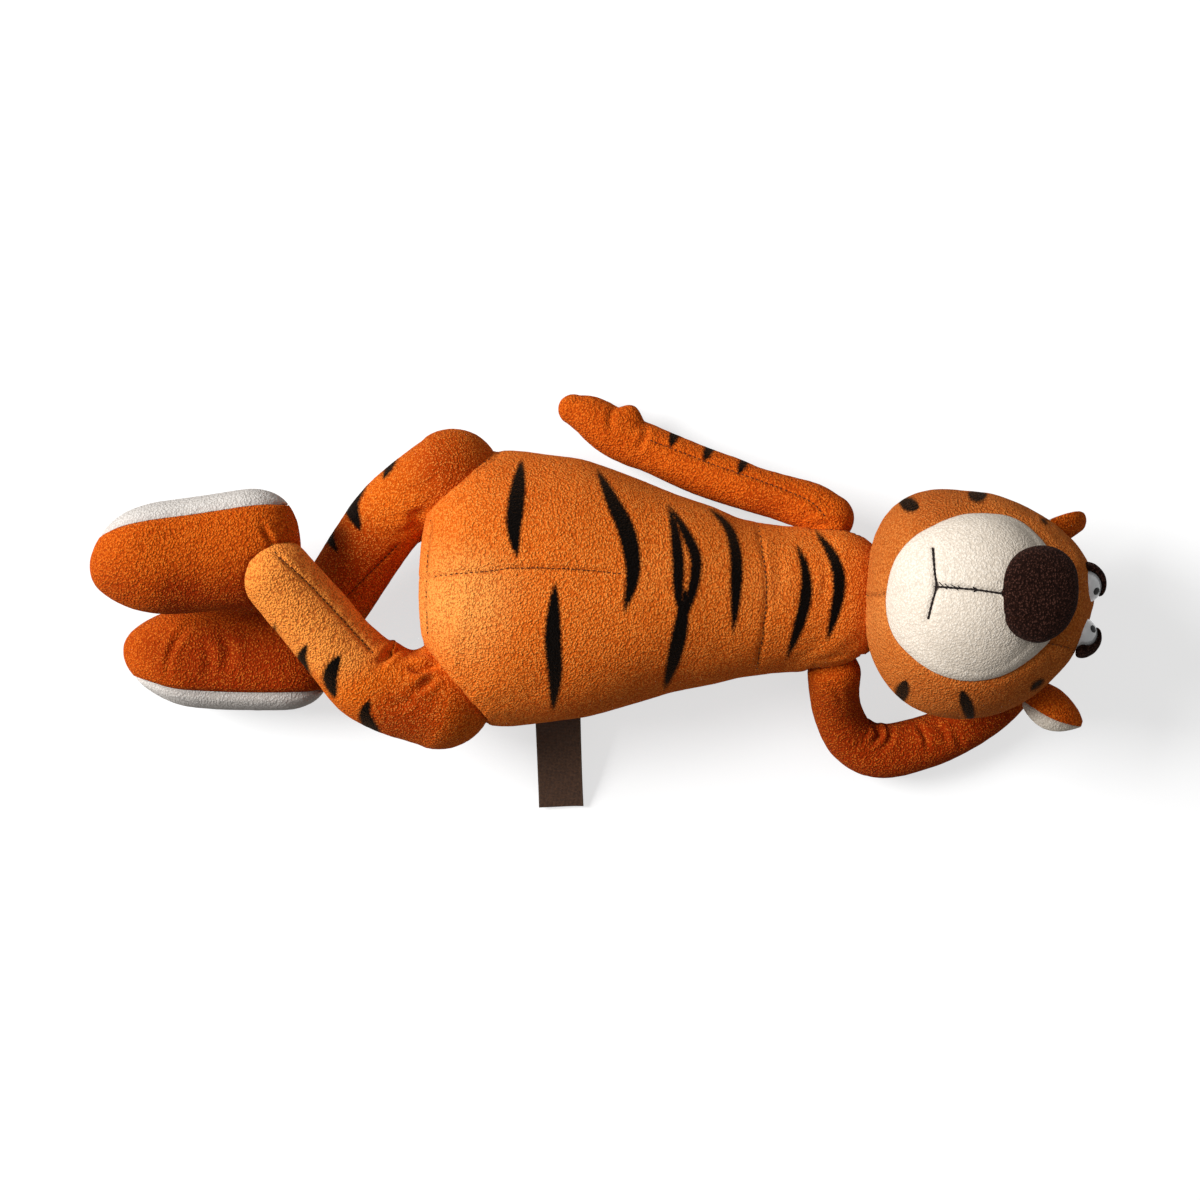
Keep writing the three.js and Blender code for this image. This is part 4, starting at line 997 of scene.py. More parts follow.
build_leg(
    "right",
    [(9, (398, 456), (389, 467), (383, 479)), (16, (368, 478), (351, 503), (360, 531)),
     (12, (340, 512), (328, 532), (337, 552))],
    [(0.8, (398, 545), (375, 568), (345, 598))],
    [(1.0, 1.8, (430, 506), (418, 515), (404, 520)), (0.7, 1.8, (426, 518), (408, 530), (392, 536)),
     (0.5, 2.2, (445, 470), (425, 486), (405, 492))],
    [(418, 527, 6, 1.5)],
    # painted light and shade: x, y, reach, value
    [(450, 465, 20, -0.6), (420, 470, 20, -0.2), (385, 520, 18, 0.15), (350, 555, 24, -0.9)],
    31,
)
build_leg(
    "left",
    [(14, (370, 700), (365, 716), (382, 740)), (16, (340, 655), (330, 676), (335, 698)),
     (12, (307, 644), (301, 660), (310, 684)), (7, (275, 624), (274, 634), (284, 652))],
    [(0.9, (274, 552), (310, 585), (345, 622), (375, 655))],
    [(4.0, 1.8, (440, 664), (424, 669), (406, 667)), (2.4, 1.8, (438, 672), (424, 685), (410, 691)),
     (2.0, 1.8, (401, 645), (388, 655), (376, 666)), (1.0, 2.2, (415, 700), (402, 704), (390, 700))],
    [(413, 640, 6.5, 4.5)],
    # painted light and shade: x, y, reach, value
    [(285, 585, 26, 1.6), (322, 625, 20, 1.1), (365, 655, 18, 0.5), (410, 700, 22, -0.5),
     (385, 725, 16, -0.5), (445, 715, 16, -0.45)],
    41,
)

# %% [markdown]
# A foot is a soft loaf: an orange upper and a pale sole that bulges beyond a seam. Upper and sole
# are two cloths, so they are two pieces that meet in the groove of that seam. One formula gives
# the loaf's rings, and each piece takes its own part of them, up to the seam line.

# %% Feet
FOOT_HEIGHT, SOLE_BULGE, FOOT_HALF = {"left": 38.6, "right": 41.6}, 8.0, 21.0
ANKLE_FROM_HEEL, ANKLE_FROM_SOLE = 10.5, 26.0
FOOT_LENGTHS = {"left": 91.5, "right": 96.5}
FOOT_ALONG = (0, 0.2, 0.5, 0.75, 1)
FOOT_WIDTH = (0.84, 0.86, 0.9, 1, 0.96)
FOOT_RISE = (0.98, 0.99, 1, 0.98, 0.92)
FOOT_MID, FOOT_SQUARE, FOOT_CLOTH = 12.15, 2.3, 1.6
SEAM_ALONG = (-12, 0, 30, 56, 70, 79, 88)
SEAM_SHIFT = {"left": (-4, -5.3, -4.2, -3, -0.8, 3, 8), "right": (2.5, 1.5, 1.5, 2.8, 5.5, 8, 12)}


def foot_part(side, rows, columns, sole):
    """The loaf's rings, x to the toe and y to the instep, from the seam at y = -ANKLE_FROM_SOLE
    round the upper or round the sole. Sections are superellipses about their widest line. The
    seam is then shifted by its table, and the rest of the section less, the further it is."""
    s = eased(rows)[:, None]
    full = fullness(s, 0.27, 0.38, FOOT_SQUARE, 2.2)
    above = FOOT_HEIGHT[side] * through(FOOT_ALONG, FOOT_RISE)(s) - FOOT_MID
    across = FOOT_HALF * through(FOOT_ALONG, FOOT_WIDTH)(s) * full
    below = (FOOT_MID + SOLE_BULGE) * full
    level = np.clip(FOOT_MID / np.maximum(below, 1e-6), 0, 1)
    start = np.arcsin(level ** (FOOT_SQUARE / 2))
    u = np.linspace(0, 1, columns)[None]
    if sole:
        angle = -(start + (np.pi - 2 * start) * u)
    else:
        angle = -start + (np.pi + 2 * start) * u
    sine = np.sin(angle)
    deep = np.where(sine > 0, above * full, below)
    x = s * FOOT_LENGTHS[side] - ANKLE_FROM_HEEL + 0 * u
    y = FOOT_MID - ANKLE_FROM_SOLE + deep * squared(sine, FOOT_SQUARE)
    z = -across * squared(np.cos(angle), FOOT_SQUARE)
    shift = through(SEAM_ALONG, SEAM_SHIFT[side])(x)
    y = y + shift * np.clip(1 - (y + ANKLE_FROM_SOLE) / FOOT_HEIGHT[side], 0, 1)
    return np.stack(np.broadcast_arrays(x, y, z), -1)


def open_skin(name, grid, material, thick, **marks):
    """An open sheet of rings with a wall: the grid, the same grid set in, and a rim between."""
    rows, columns = grid.shape[:2]
    normal = sheet_normals(grid)
    inner = grid - thick * normal
    points = np.concatenate([grid.reshape(-1, 3), inner.reshape(-1, 3)])
    count = rows * columns
    face = quads(rows, columns, closed=False)
    rim = np.r_[np.arange(columns), (np.arange(1, rows) + 1) * columns - 1,
                np.arange(count - 2, count - columns - 1, -1),
                np.arange(rows - 2, 0, -1) * columns]
    nxt = np.roll(rim, -1)
    wall = np.stack([rim, nxt, nxt + count, rim + count], -1)
    a, b, c = (grid.reshape(-1, 3)[face[:, k]] for k in range(3))
    facing_out = (np.cross(b - a, c - a) * normal.reshape(-1, 3)[face[:, 0]]).sum() > 0
    outer, back, wall = (face, face[:, ::-1], wall[:, ::-1]) if facing_out else (
        face[:, ::-1], face, wall)
    faces = np.concatenate([outer, back + count, wall])
    piece = piece_from(name, points, [list(map(int, f)) for f in faces], material)
    for mark, values in marks.items():
        values = np.broadcast_to(values, (rows, columns)).ravel()
        keep_mark(piece, mark, [values, values])
    print(f"{name}: {len(points)} points")
    return piece


def ankle_dent(grid, normal, shank, radius):
    """The shank stands in a dent of the foot: cloth inside a round rod about the shank's end is
    pushed back by how far it is inside. Returns the sink and a mask of the dent's rim."""
    far, _ = near_line(grid, shank)
    inside = np.clip(radius - far, 0, None)
    rim = np.exp(-(((far - radius) / 1.3) ** 2))
    up = np.clip(normal[..., 2] * 3 + 0.5, 0, 1)
    return -(1.4 * inside + 0.8 * rim) * up, 0.7 * rim * up


def build_foot(side, turn, flip, folds, nap, seed):
    """A foot's upper and sole, turned about Z at the ankle and, for flip, laid on its other side."""
    ankle = pivot(f"{side}_ankle")
    shank = line_of(leg_points(side)[-2:])
    spin = turn_z(turn)
    if flip:  # the CAD turns it about Z first, and then over about X
        spin = np.diag([1.0, -1.0, -1.0]) @ spin
    for part, sole in (("foot_plush", False), ("sole_plush", True)):
        rows, columns = (190, 130) if not sole else (170, 60)
        local = foot_part(side, rows, columns, sole)
        grid = local @ spin.T + ankle
        normal = sheet_normals(grid)
        normal[0], normal[-1] = normal[1].mean(0), normal[-2].mean(0)
        edge = np.minimum(np.arange(columns), np.arange(columns)[::-1])
        step = np.linalg.norm(np.diff(grid, axis=1), axis=-1).mean()
        from_seam = (edge * step)[None] + 0 * local[..., 0]
        sink = -1.5 * np.exp(-((from_seam / 1.8) ** 2))
        seam = np.exp(-((from_seam / 0.7) ** 2)) * 0.6
        if not sole:
            fold = crease(photo_px(grid), folds)
            dent, rim = ankle_dent(grid, normal, shank, LEG_RADII[side][-1][0])
            sink = sink + np.where(normal[..., 2] > 0, fold, 0) + dent
            seam = np.maximum(seam, rim)
        grid = raised(grid, normal, 0.7, seed, sink)
        colour = WHITE if sole else DEEP
        # Painted shade and light from the foot's spots.
        lay = spots(photo_px(grid), nap) * (normal[..., 2] > -0.3)
        piece = open_skin(f"{side}_{part}", grid, colour, FOOT_CLOTH, stripe=FAR, seam=seam,
                          nap=lay)
        nodes = [f"{side}_sole"] if sole else [f"{side}_foot_cover", f"{side}_foot_stuffing"]
        slot = "cream_plush" if sole else "deep_orange_plush"
        dress(piece, f"{side}_foot", slot, 0.7, *nodes)


build_foot(
    "left", math.radians(186), False,
    [(1.0, 1.4, (278, 552), (269, 538), (260, 520)), (0.6, 1.4, (240, 566), (258, 560), (276, 552))],
    # painted shade: x, y, reach, value
    [(180, 600, 16, -1.0), (250, 600, 18, -0.9), (115, 590, 16, -0.6)], 51,
)
build_foot(
    "right", math.radians(180), True,
    [(0.9, 1.5, (166, 684), (168, 660), (178, 638), (192, 620)),
     (1.1, 2.8, (222, 676), (228, 652), (220, 628)), (0.7, 2.4, (204, 640), (210, 660), (206, 680))],
    # painted shade: x, y, reach, value
    [(150, 640, 26, -0.35), (226, 652, 9, -0.7), (200, 655, 26, -0.45), (270, 640, 20, -0.6),
     (230, 700, 18, -0.9), (290, 690, 14, -0.9)], 61,
)

# %% [markdown]
# The arms are each one sewn tube from shoulder to hand, with a hinge inside the elbow. Each arm
# is one mesh, laid along its path as it lies. The thumb is a bump on the hand.

# %% Arms


def build_arm(side, path, radii, thumb, stripes, seams, folds, loose, nap, blend, seed):
    """An arm's tube with its marks. thumb is a bump's start, tip and size in mm, loose are the
    spots where the cloth buckles, and blend is not used."""
    grid = limb_grid(path, radii, 210, 110)
    normal, places = outward(grid), photo_px(grid)
    start, tip, size = thumb
    far, _ = near_line(grid, np.linspace(start, tip, 12))
    lift = np.clip(1 - (far / (size * 1.7)) ** 2, 0, 1) ** 1.5 * size * 1.25
    way = (tip - start) / np.linalg.norm(tip - start)
    toward = np.clip((normal * way).sum(-1), 0, 1)
    grid = grid + (way * 0.6 + normal * 0.4) * (lift * (0.25 + 0.75 * toward**0.5))[..., None]
    normal = outward(grid)
    up = normal[..., 2]
    sink, seam, seam_far = seam_field(places, seams, wide=0.9)
    sink = np.where(up > 0, sink + crease(places, folds), 0)
    stripe = on_top(stripe_field(places, stripes), up, -0.8)
    slack = np.clip(0.08 + spots(places, loose), 0, 1)
    grid = stuffed(f"{side}_arm", grid, (seam_far < 2) & (up > 0), (56, 26), 0.04, 0.5 * slack)
    grid = raised(grid, normal, 0.5, seed, sink)
    pieces = [stitches(f"{side}_arm_stitches", grid, seams, None)] if seams else []
    # The arm's painted light and shade comes from its spots.
    arm = skin(f"{side}_arm_plush", grid, DEEP, stripe=stripe, seam=np.where(up > 0, seam, 0),
               nap=spots(places, nap) * (up > -0.3))
    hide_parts(f"{side}_upper_arm_cover", f"{side}_upper_arm_stuffing",
                f"{side}_forearm_cover", f"{side}_forearm_stuffing")
    start, end = blend
    for piece in [arm] + pieces:
        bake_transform(piece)


RIGHT_ARM = np.array([
    (84.2, 33, 34), (76, 38.2, 32.5), (64, 42.4, 29.5), (50, 46.8, 25.8), (42.64, 49.6, 23.65),
    (26, 55.9, 19.5), (4.2, 66, 14.8), (-6, 70, 13.2), (-15, 75, 12.4), (-24.7, 81.5, 11.8),
    (-32.5, 85, 11),
])
RIGHT_ARM_RADII = [(10.8, 11.4), (10.8, 11.1), (10.4, 10.4), (10.4, 10.3), (10.9, 10.5),
                   (11.2, 10.8), (10.7, 10.4), (10.9, 10.4), (11.1, 10.4), (9.7, 9.4), (7, 7)]
LEFT_ARM = np.array([
    (86.2, -37.37, 34), (87.2, -46.5, 27), (89.8, -56, 20), (96, -67, 14.5), (105.2, -73, 13),
    (115, -74.2, 12.8), (130.6, -70.5, 12.8), (143, -65.5, 13), (156, -58, 14), (166, -50.5, 15),
    (174, -43, 16),
])
LEFT_ARM_RADII = [(12, 12), (11.2, 11.2), (11, 11), (11.8, 11.4), (12.5, 11.4), (12.5, 11.4),
                  (12, 11), (11.6, 10.6), (11.2, 10.3), (10.5, 10), (9, 8)]
build_arm(
    "right", RIGHT_ARM, RIGHT_ARM_RADII,
    (np.array([-9.5, 71, 18.5]), np.array([-7.0, 79.5, 17]), 4.6),
    [(11, (681, 422), (675, 434), (670, 447)), (11, (714, 437), (709, 449), (704, 461)),
     (10, (748, 451), (744, 462), (738, 474))],
    [(0.6, (649, 440), (684, 453), (715, 465), (744, 475), (780, 488), (811, 502), (827, 518))],
    [(0.9, 1.5, (613, 408), (610, 420), (613, 434)), (0.8, 1.5, (647, 424), (644, 440), (636, 452)),
     (0.9, 1.6, (842, 523), (826, 524), (810, 528)), (0.5, 1.4, (800, 520), (815, 512), (826, 505))],
    [(820, 515, 12, 0.7), (640, 440, 10, 0.4)],
    # painted light and shade: x, y, reach, value
    [(590, 415, 16, -0.15), (720, 455, 20, 0.2), (770, 505, 16, -0.4), (840, 510, 12, 0.1),
     (690, 490, 16, -0.3)],
    (np.array([53.0, 46.5, 26]), np.array([33.0, 52, 21])), 71,
)
build_arm(
    "left", LEFT_ARM, LEFT_ARM_RADII,
    (np.array([152.0, -60, 16]), np.array([147, -53, 18]), 6.0), [], [],
    [(1.8, 1.3, (873, 722), (879, 736), (870, 745)), (1.1, 1.4, (893, 728), (889, 742), (878, 750)),
     (1.4, 1.3, (915, 722), (925, 736), (928, 752)), (0.8, 1.4, (934, 722), (944, 734), (946, 746)),
     (0.7, 1.5, (952, 730), (960, 742), (962, 750)), (0.9, 1.6, (812, 676), (832, 672), (850, 668)),
     (0.7, 1.6, (822, 680), (835, 690), (846, 706))],
    [(885, 738, 16, 0.8), (930, 735, 14, 0.6), (835, 685, 12, 0.6)],
    # painted light and shade: x, y, reach, value
    [(860, 760, 28, -0.9), (990, 725, 30, -0.8), (825, 700, 20, -0.35), (930, 755, 26, -0.8)],
    (np.array([102.0, -68, 14]), np.array([119.0, -75, 12.6])), 81,
)

# %% [markdown]
# The head is an egg that lies nearly on its crown, sewn from three panels, with a pale muzzle
# patch laid on its face. Panels that meet in a seam draw in there. The patch has a small
# pillow of stuffing under it, so it rises at once from a groove at its edge.

# %% Head
HEAD_AT = np.array([146.83, -5.543, 62.0])
HEAD_TIP, HEAD_TURN = math.radians(-5), math.radians(-6.5)
HEAD_WIDTH, HEAD_FACE, HEAD_CROWN = 50.1, 48.0, 42.0
HEAD_WIDEST, HEAD_REACH = -6.03, (44.2, 54.2)
HEAD_POWER = (2.6, 1.78)
HEAD_SPIN = turn_x(HEAD_TIP) @ turn_z(HEAD_TURN)


def head_world(local):
    """Points of the head's own frame, in the toy's."""
    return local @ HEAD_SPIN.T + HEAD_AT


def head_local(world):
    """Points of the toy's frame, in the head's own."""
    return (world - HEAD_AT) @ HEAD_SPIN


def head_full(x):
    """How full the head is at x, from 0 at an end to 1 where it is widest."""
    chin = x < HEAD_WIDEST
    power = np.where(chin, *HEAD_POWER)
    off = np.clip(np.abs(x - HEAD_WIDEST) / np.where(chin, *HEAD_REACH), 0, 1)
    return (1 - off**power) ** (1 / power)


LEAN_ALONG = (-51, -40, -28, -15, 0, 15, 30, 42, 51)
LEAN = through(LEAN_ALONG, (5, 2, -0.5, -1.8, -1.5, -1, 1.5, 5, 8))


def brow_ridge(x, y):
    """The forehead swells before the eyes and hides their lower half: a ridge of 4.5 mm, round
    along the head as exp(-((x - 34) / 7.5) ** 2) and fading to the sides as exp(-(y / 25) ** 4)."""
    return 4.5 * np.exp(-(((x - 34) / 7.5) ** 2)) * np.exp(-((y / 25) ** 4))


def head_grid(rows, columns):
    """Rings across x; y = width * full * cos a, z = face or crown * full * sin a."""
    t = np.linspace(0, np.pi, rows)[:, None]
    x = HEAD_WIDEST - np.where(t < np.pi / 2, *HEAD_REACH) * np.cos(t)
    angle = angles(columns)[None]
    full = head_full(x)
    y = HEAD_WIDTH * full * np.cos(angle)
    z = np.where(np.sin(angle) > 0, HEAD_FACE, HEAD_CROWN) * full * np.sin(angle)
    y = y + LEAN(x)
    z = z + brow_ridge(x, y) * np.clip(z / 20, 0, 1)
    return np.stack(np.broadcast_arrays(x + 0 * angle, y, z), -1)


def face_height(x, y):
    """The face's height over a place of the head's own plane."""
    full = head_full(x)
    left = 1 - ((y - LEAN(x)) / np.maximum(HEAD_WIDTH * full, 1e-6)) ** 2
    return HEAD_FACE * full * np.sqrt(np.clip(left, 0, 1))


HEAD_SPOTS = [
    (15, (900, 502), (909, 505), (919, 507)), (13, (968, 493), (977, 496), (987, 494)),
    (5, (1041, 518), (1048, 524)), (15, (905, 681), (902, 692), (900, 704)),
    (14, (961, 691), (967, 706), (972, 722)), (8, (1031, 691), (1036, 685), (1044, 679)),
]
HEAD_SEAMS = [
    (1.1, (862, 595), (876, 595), (890, 593)),
    (0.8, (1047, 643), (1060, 646), (1072, 649)),
]
# Painted light and shade on the head: x, y, reach, value; darker on the sides turned from the lamp.
HEAD_NAP = [(875, 620, 22, 0.5), (940, 498, 24, -0.6), (930, 700, 26, -0.45), (1000, 690, 22, -0.4),
            (1085, 600, 16, -0.2)]
# Painted shade on the muzzle's low side and painted light on its top.
MUZZLE_NAP = [(960, 660, 18, -0.6), (1000, 640, 18, -0.35), (930, 560, 22, 0.3)]
MUZZLE_PX = [
    (886, 602), (890, 575), (897, 556), (913, 536), (932, 525), (955, 514), (978, 510), (1003, 512),
    (1024, 519), (1039, 533), (1048, 544), (1060, 565), (1064, 595), (1060, 625), (1047, 646),
    (1027, 661), (1008, 674), (985, 680), (962, 681), (939, 674), (920, 663), (899, 644), (890, 626),
]
MUZZLE_CENTRE_PX = (975, 598)
MUZZLE_AT = np.array([-9.55, 0, 21.12])
MUZZLE_RADII = np.array([36, 39.5, 32])
MUZZLE_REACH, MUZZLE_EDGE_FALL, PATCH_CLOTH = 60, 2.3, 1.2


def muzzle_height(x, y):
    """The muzzle pillow's height over the head's plane, as the upper half of an ellipsoid."""
    off = ((x - MUZZLE_AT[0]) / MUZZLE_RADII[0]) ** 2 + ((y - MUZZLE_AT[1]) / MUZZLE_RADII[1]) ** 2
    return MUZZLE_AT[2] + MUZZLE_RADII[2] * np.sqrt(np.clip(1 - off, 0, 1))


def patch_height(x, y):
    """The pillow's height, but never less than the face's own plus the cloth."""
    return np.maximum(muzzle_height(x, y), face_height(x, y) + PATCH_CLOTH)


def ring_through(points, count):
    """A smooth closed line: the points are repeated once round, and the middle turn is kept."""
    points = np.asarray(points, float)
    loop = np.concatenate([points, points, points, points[:1]])
    line = through(np.linspace(0, 3, len(loop)), loop)
    ring = line(1 + np.linspace(0, 1, count, endpoint=False))
    reach = count // 30
    return sum(np.roll(ring, k, 0) for k in range(-reach, reach + 1)) / (2 * reach + 1)


def onto_head(px, height):
    """The place in the head's own frame that falls on a pixel, with its height found by turns:
    start at a guess, and step along the line of sight to the height of the face."""
    z = np.full(np.shape(px)[:-1], 100.0)
    for _ in range(12):
        local = head_local(from_px(px, z))
        local[..., 2] = height(local[..., 0], local[..., 1])
        z = head_world(local)[..., 2]
    return local


MUZZLE_EDGE = ring_through(MUZZLE_PX, 200)


def in_patch(places):
    """How far out a place is on the muzzle patch: 0 at its centre, 1 at its edge, more beyond. The
    edge's distance is looked up by the angle round the centre."""
    off = MUZZLE_EDGE - np.array(MUZZLE_CENTRE_PX)
    angle, reach = np.arctan2(off[:, 1], off[:, 0]), np.linalg.norm(off, axis=1)
    order = np.argsort(angle)
    here = places - np.array(MUZZLE_CENTRE_PX)
    edge = np.interp(np.arctan2(here[..., 1], here[..., 0]), angle[order], reach[order],
                     period=2 * np.pi)
    return np.linalg.norm(here, axis=-1) / edge


def build_head():
    local = head_grid(260, 300)
    grid = head_world(local)
    normal, places = outward(grid), photo_px(grid)
    up = normal[..., 2]
    sink, seam, seam_far = seam_field(places, HEAD_SEAMS)
    sink, seam = np.where(up > 0, sink, 0), np.where(up > 0, seam, 0)
    loop = np.concatenate([MUZZLE_EDGE, MUZZLE_EDGE[:1]])
    far, _ = near_line(places, loop)
    groove = np.exp(-((far * PX / 2.2) ** 2)) * (up > 0)
    under = np.clip((0.97 - in_patch(places)) / 0.1, 0, 1) * (up > 0)
    sink = sink - 1.1 * groove - 3.0 * under
    side = np.exp(-((local[..., 2] / 0.9) ** 2)) * (np.abs(local[..., 1]) > 5)
    sink -= 0.8 * side
    seam = np.maximum(seam, 0.4 * side)
    stripe = on_top(stripe_field(places, HEAD_SPOTS, 0.5), up, -0.2)
    held = ((np.minimum(far * PX, seam_far) < 3) & (up > 0)) | (np.abs(local[..., 2]) < 3)
    grid = stuffed("head", grid, held, (40, 48), 0.015, 0.3)
    grid = raised(grid, normal, 0.7, 91, sink)
    stitches("head_stitches", grid, HEAD_SEAMS, "head", pitch=1.8, long=0.6, thick=0.2)
    # The head's painted light and shade comes from its spots.
    head = skin("head_plush", grid, TAN, stripe=stripe, seam=seam,
                nap=spots(places, HEAD_NAP) * (up > -0.2))
    dress(head, "head", "orange_plush", 0.8, "head_cover", "head_stuffing")


def disc(edge, centre, rings, ease=1.0):
    """Rings from a centre out to an edge line, as shares of the way there; the first is tiny."""
    share = np.linspace(0.0, 1, rings)[:, None, None] ** ease
    return centre + (np.asarray(edge) - centre) * share, share[..., 0]


def build_muzzle():
    """A polar patch: its rings are the outline drawn in toward the middle. Its height is the
    pillow's, but never under the head, and it drops into the groove over the last few mm."""
    flat, share = disc(MUZZLE_EDGE, np.array(MUZZLE_CENTRE_PX), 110, 0.85)
    local = onto_head(flat, patch_height)
    drop = np.exp(-(1 - share) * MUZZLE_REACH / MUZZLE_EDGE_FALL)
    ground = face_height(local[..., 0], local[..., 1])
    local[..., 2] = local[..., 2] * (1 - drop) + (ground - PATCH_CLOTH) * drop
    grid = head_world(local)
    round_it = np.roll(grid, -1, 1) - np.roll(grid, 1, 1)
    normal = unit(np.cross(round_it, np.gradient(grid, axis=0)))
    normal *= np.sign(normal[..., 2].mean())
    normal[0] = normal[2].mean(0)
    places = photo_px(grid)
    mouth = [(1.3, (1022, 594), (1003, 593), (985, 591), (962, 588), (932, 586)),
             (1.1, (932, 541), (935.5, 572), (936, 588), (932.5, 602), (927, 624)),
             (0.3, (924, 582), (908, 588), (890, 596))]
    sink, seam, _ = seam_field(places, mouth, wide=1.5, ruck=0.12)
    grid = raised(grid, normal, 0.5, 101, sink)
    under = grid - normal * 2.2
    under = np.minimum(under, grid + [0, 0, -0.5])
    shell = np.concatenate([grid, under[::-1]])
    marks = np.concatenate([seam, 0 * seam])
    # The muzzle's painted light and shade, from its spots, on the outer face only.
    lay = np.concatenate([spots(places, MUZZLE_NAP), 0 * seam])
    patch = skin("muzzle_patch", shell, CREAM, stripe=FAR, seam=marks * 0.3, nap=lay)
    dress(patch, "head", "cream_plush", 0.6, "muzzle_panel")


build_head()
build_muzzle()

# %% [markdown]
# The nose is a firm little cushion of short brown pile. Its outline is the picture's, swept up
# over a dome that is squarer than a ball, and its skirt goes down into the muzzle.

# %% Nose
NOSE_PX = [
    (999, 592), (1001, 575), (1013, 557), (1033, 546), (1054, 547), (1070, 558), (1077, 573),
    (1078, 594), (1075, 611), (1065, 629), (1050, 640), (1034, 643), (1014, 634), (1002, 618),
]
NOSE_CENTRE_PX = (1040, 596)
NOSE_LEVEL, NOSE_UP, NOSE_DOWN = 49.0, 9.5, 14.0


def build_nose():
    """Rings from the top down: the outline shrunk by sin(t) ** (2 / 2.5) about the middle, at the
    level of its widest line plus the height times cos(t) ** (2 / 2.2)."""
    edge, centre = (onto_head(px, lambda x, y: NOSE_LEVEL + 0 * x)
                    for px in (ring_through(NOSE_PX, 150), np.array(NOSE_CENTRE_PX, float)))
    t = np.linspace(0, np.pi, 110)[:, None, None]
    local = centre + (edge - centre) * squared(np.sin(t), 2.5)
    rise = squared(np.cos(t[..., 0]), 2.2)
    local[..., 2] = NOSE_LEVEL + np.where(rise > 0, NOSE_UP, NOSE_DOWN) * rise
    grid = head_world(local)
    normal = outward(grid)
    places = photo_px(grid)
    crossing = [(0.5, (1003, 614), (1018, 618), (1034, 617))]
    sink, seam, _ = seam_field(places, crossing, wide=1.2, ruck=0.1)
    grid = raised(grid, normal, 0.4, 111, sink * (normal[..., 2] > 0))
    nose = skin("nose_pad", grid, BROWN, stripe=FAR, seam=seam * 0.5)
    dress(nose, "head", "brown_plush", 0.85, "nose")


build_nose()

# %% [markdown]
# The mouth is one thread sewn through the stuffing and pulled tight, so it lies at the bottom of
# a crease. A thread is two twisted plies: a thin tube whose radius swells and shrinks.

# %% Mouth


def sewn(name, lines, height, deep=0.75, thick=THREAD):
    """Black threads along lines of pixels, laid on a surface of the head given by its height."""
    for i, line in enumerate(lines):
        local = onto_head(line_of(line, 60), height)
        local[:, 2] -= deep
        size = thick * (1 + 0.18 * np.sin(np.linspace(0, 90, 60)))
        grid = limb_grid(head_world(local), np.stack([size, size], -1), 120, 10, cap=4)
        piece = skin(f"{name}_{i}", grid, BLACK_THREAD)
        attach(piece, "head")


MOUTH = [
    [(1008, 594), (990, 591.5), (976, 589.5), (957, 588), (936, 586.5)],
    [(933, 548), (935, 572), (936.5, 586), (932.5, 602), (928.5, 618)],
    [(974, 587), (976.5, 589.5), (974.5, 592)],
]
MOUTH_FUZZ = [
    [(939, 582), (942, 585), (947, 589)], [(945, 583.5), (949, 587), (953, 588)],
    [(951, 584.5), (955, 587), (958, 590)], [(958, 585.5), (960, 588), (964, 589)],
]
sewn("mouth_thread", MOUTH, patch_height)
sewn("mouth_fuzz", MOUTH_FUZZ, patch_height, deep=0.35, thick=0.17)

# %% [markdown]
# The eyes are moulded domes of white plastic whose stems go through the cloth, each with a small
# black pupil and a strip of brown pile sewn over it as a brow. Plastic is smooth all through,
# with a clear gloss, and shows a lamp as a small sharp light.

# %% Eyes and brows
EYE_ALONG, EYE_ACROSS, EYE_DEEP = 38.6, 10.2, 18.2
EYE_RADIUS, PUPIL_RADIUS = 7.3, 1.6
BROW_FROM, BROW_TO = math.radians(-28), math.radians(104)
BROW_DROP = math.radians(66)
BROW_UP = {"right": 0.1, "left": 0.45}


def plastic(name, colour, rough, coat, shine=0.5):
    """Moulded plastic: its colour and its roughness vary a little with the dust on it."""
    material, tree, out = shader(name)
    dust = noise_node(tree, node(tree, "TexCoord").outputs["Object"], 240, 4, 0.7)
    worn = tuple(0.9 * c for c in colour)
    shade = mixed(tree, ranged(tree, dust, 0.35, 0.75), (*colour, 1), (*worn, 1))
    body = node(tree, "BsdfPrincipled", Base_Color=shade, Specular_IOR_Level=shine,
                Roughness=ranged(tree, dust, 0.4, 0.7, rough, rough * 1.5), Coat_Weight=coat,
                Coat_Roughness=0.08)
    tree.links.new(body.outputs[0], out.inputs["Surface"])
    return material


EYE_WHITE = plastic("eye_white_gloss", (0.82, 0.83, 0.84), 0.2, 0.6)
EYE_BLACK = plastic("eye_black_gloss", (0.003, 0.003, 0.003), 0.3, 0.0, 0.15)
WASHER = plastic("washer_nylon", (0.66, 0.66, 0.63), 0.42, 0.0)


def cap_grid(centre, axis, radius, spread, rows, columns, rise=0.0):
    """Rings round an axis from its pole out to the angle spread, on a ball; rise lifts it."""
    axis = axis / np.linalg.norm(axis)
    side = np.cross(axis, [0, 0, 1.0])
    side /= np.linalg.norm(side)
    other = np.cross(axis, side)
    t = np.linspace(0, spread, rows)[:, None, None]
    a = angles(columns)[None, :, None]
    ring = side * np.cos(a) + other * np.sin(a)
    return centre + (radius + rise) * (np.cos(t) * axis + np.sin(t) * ring)


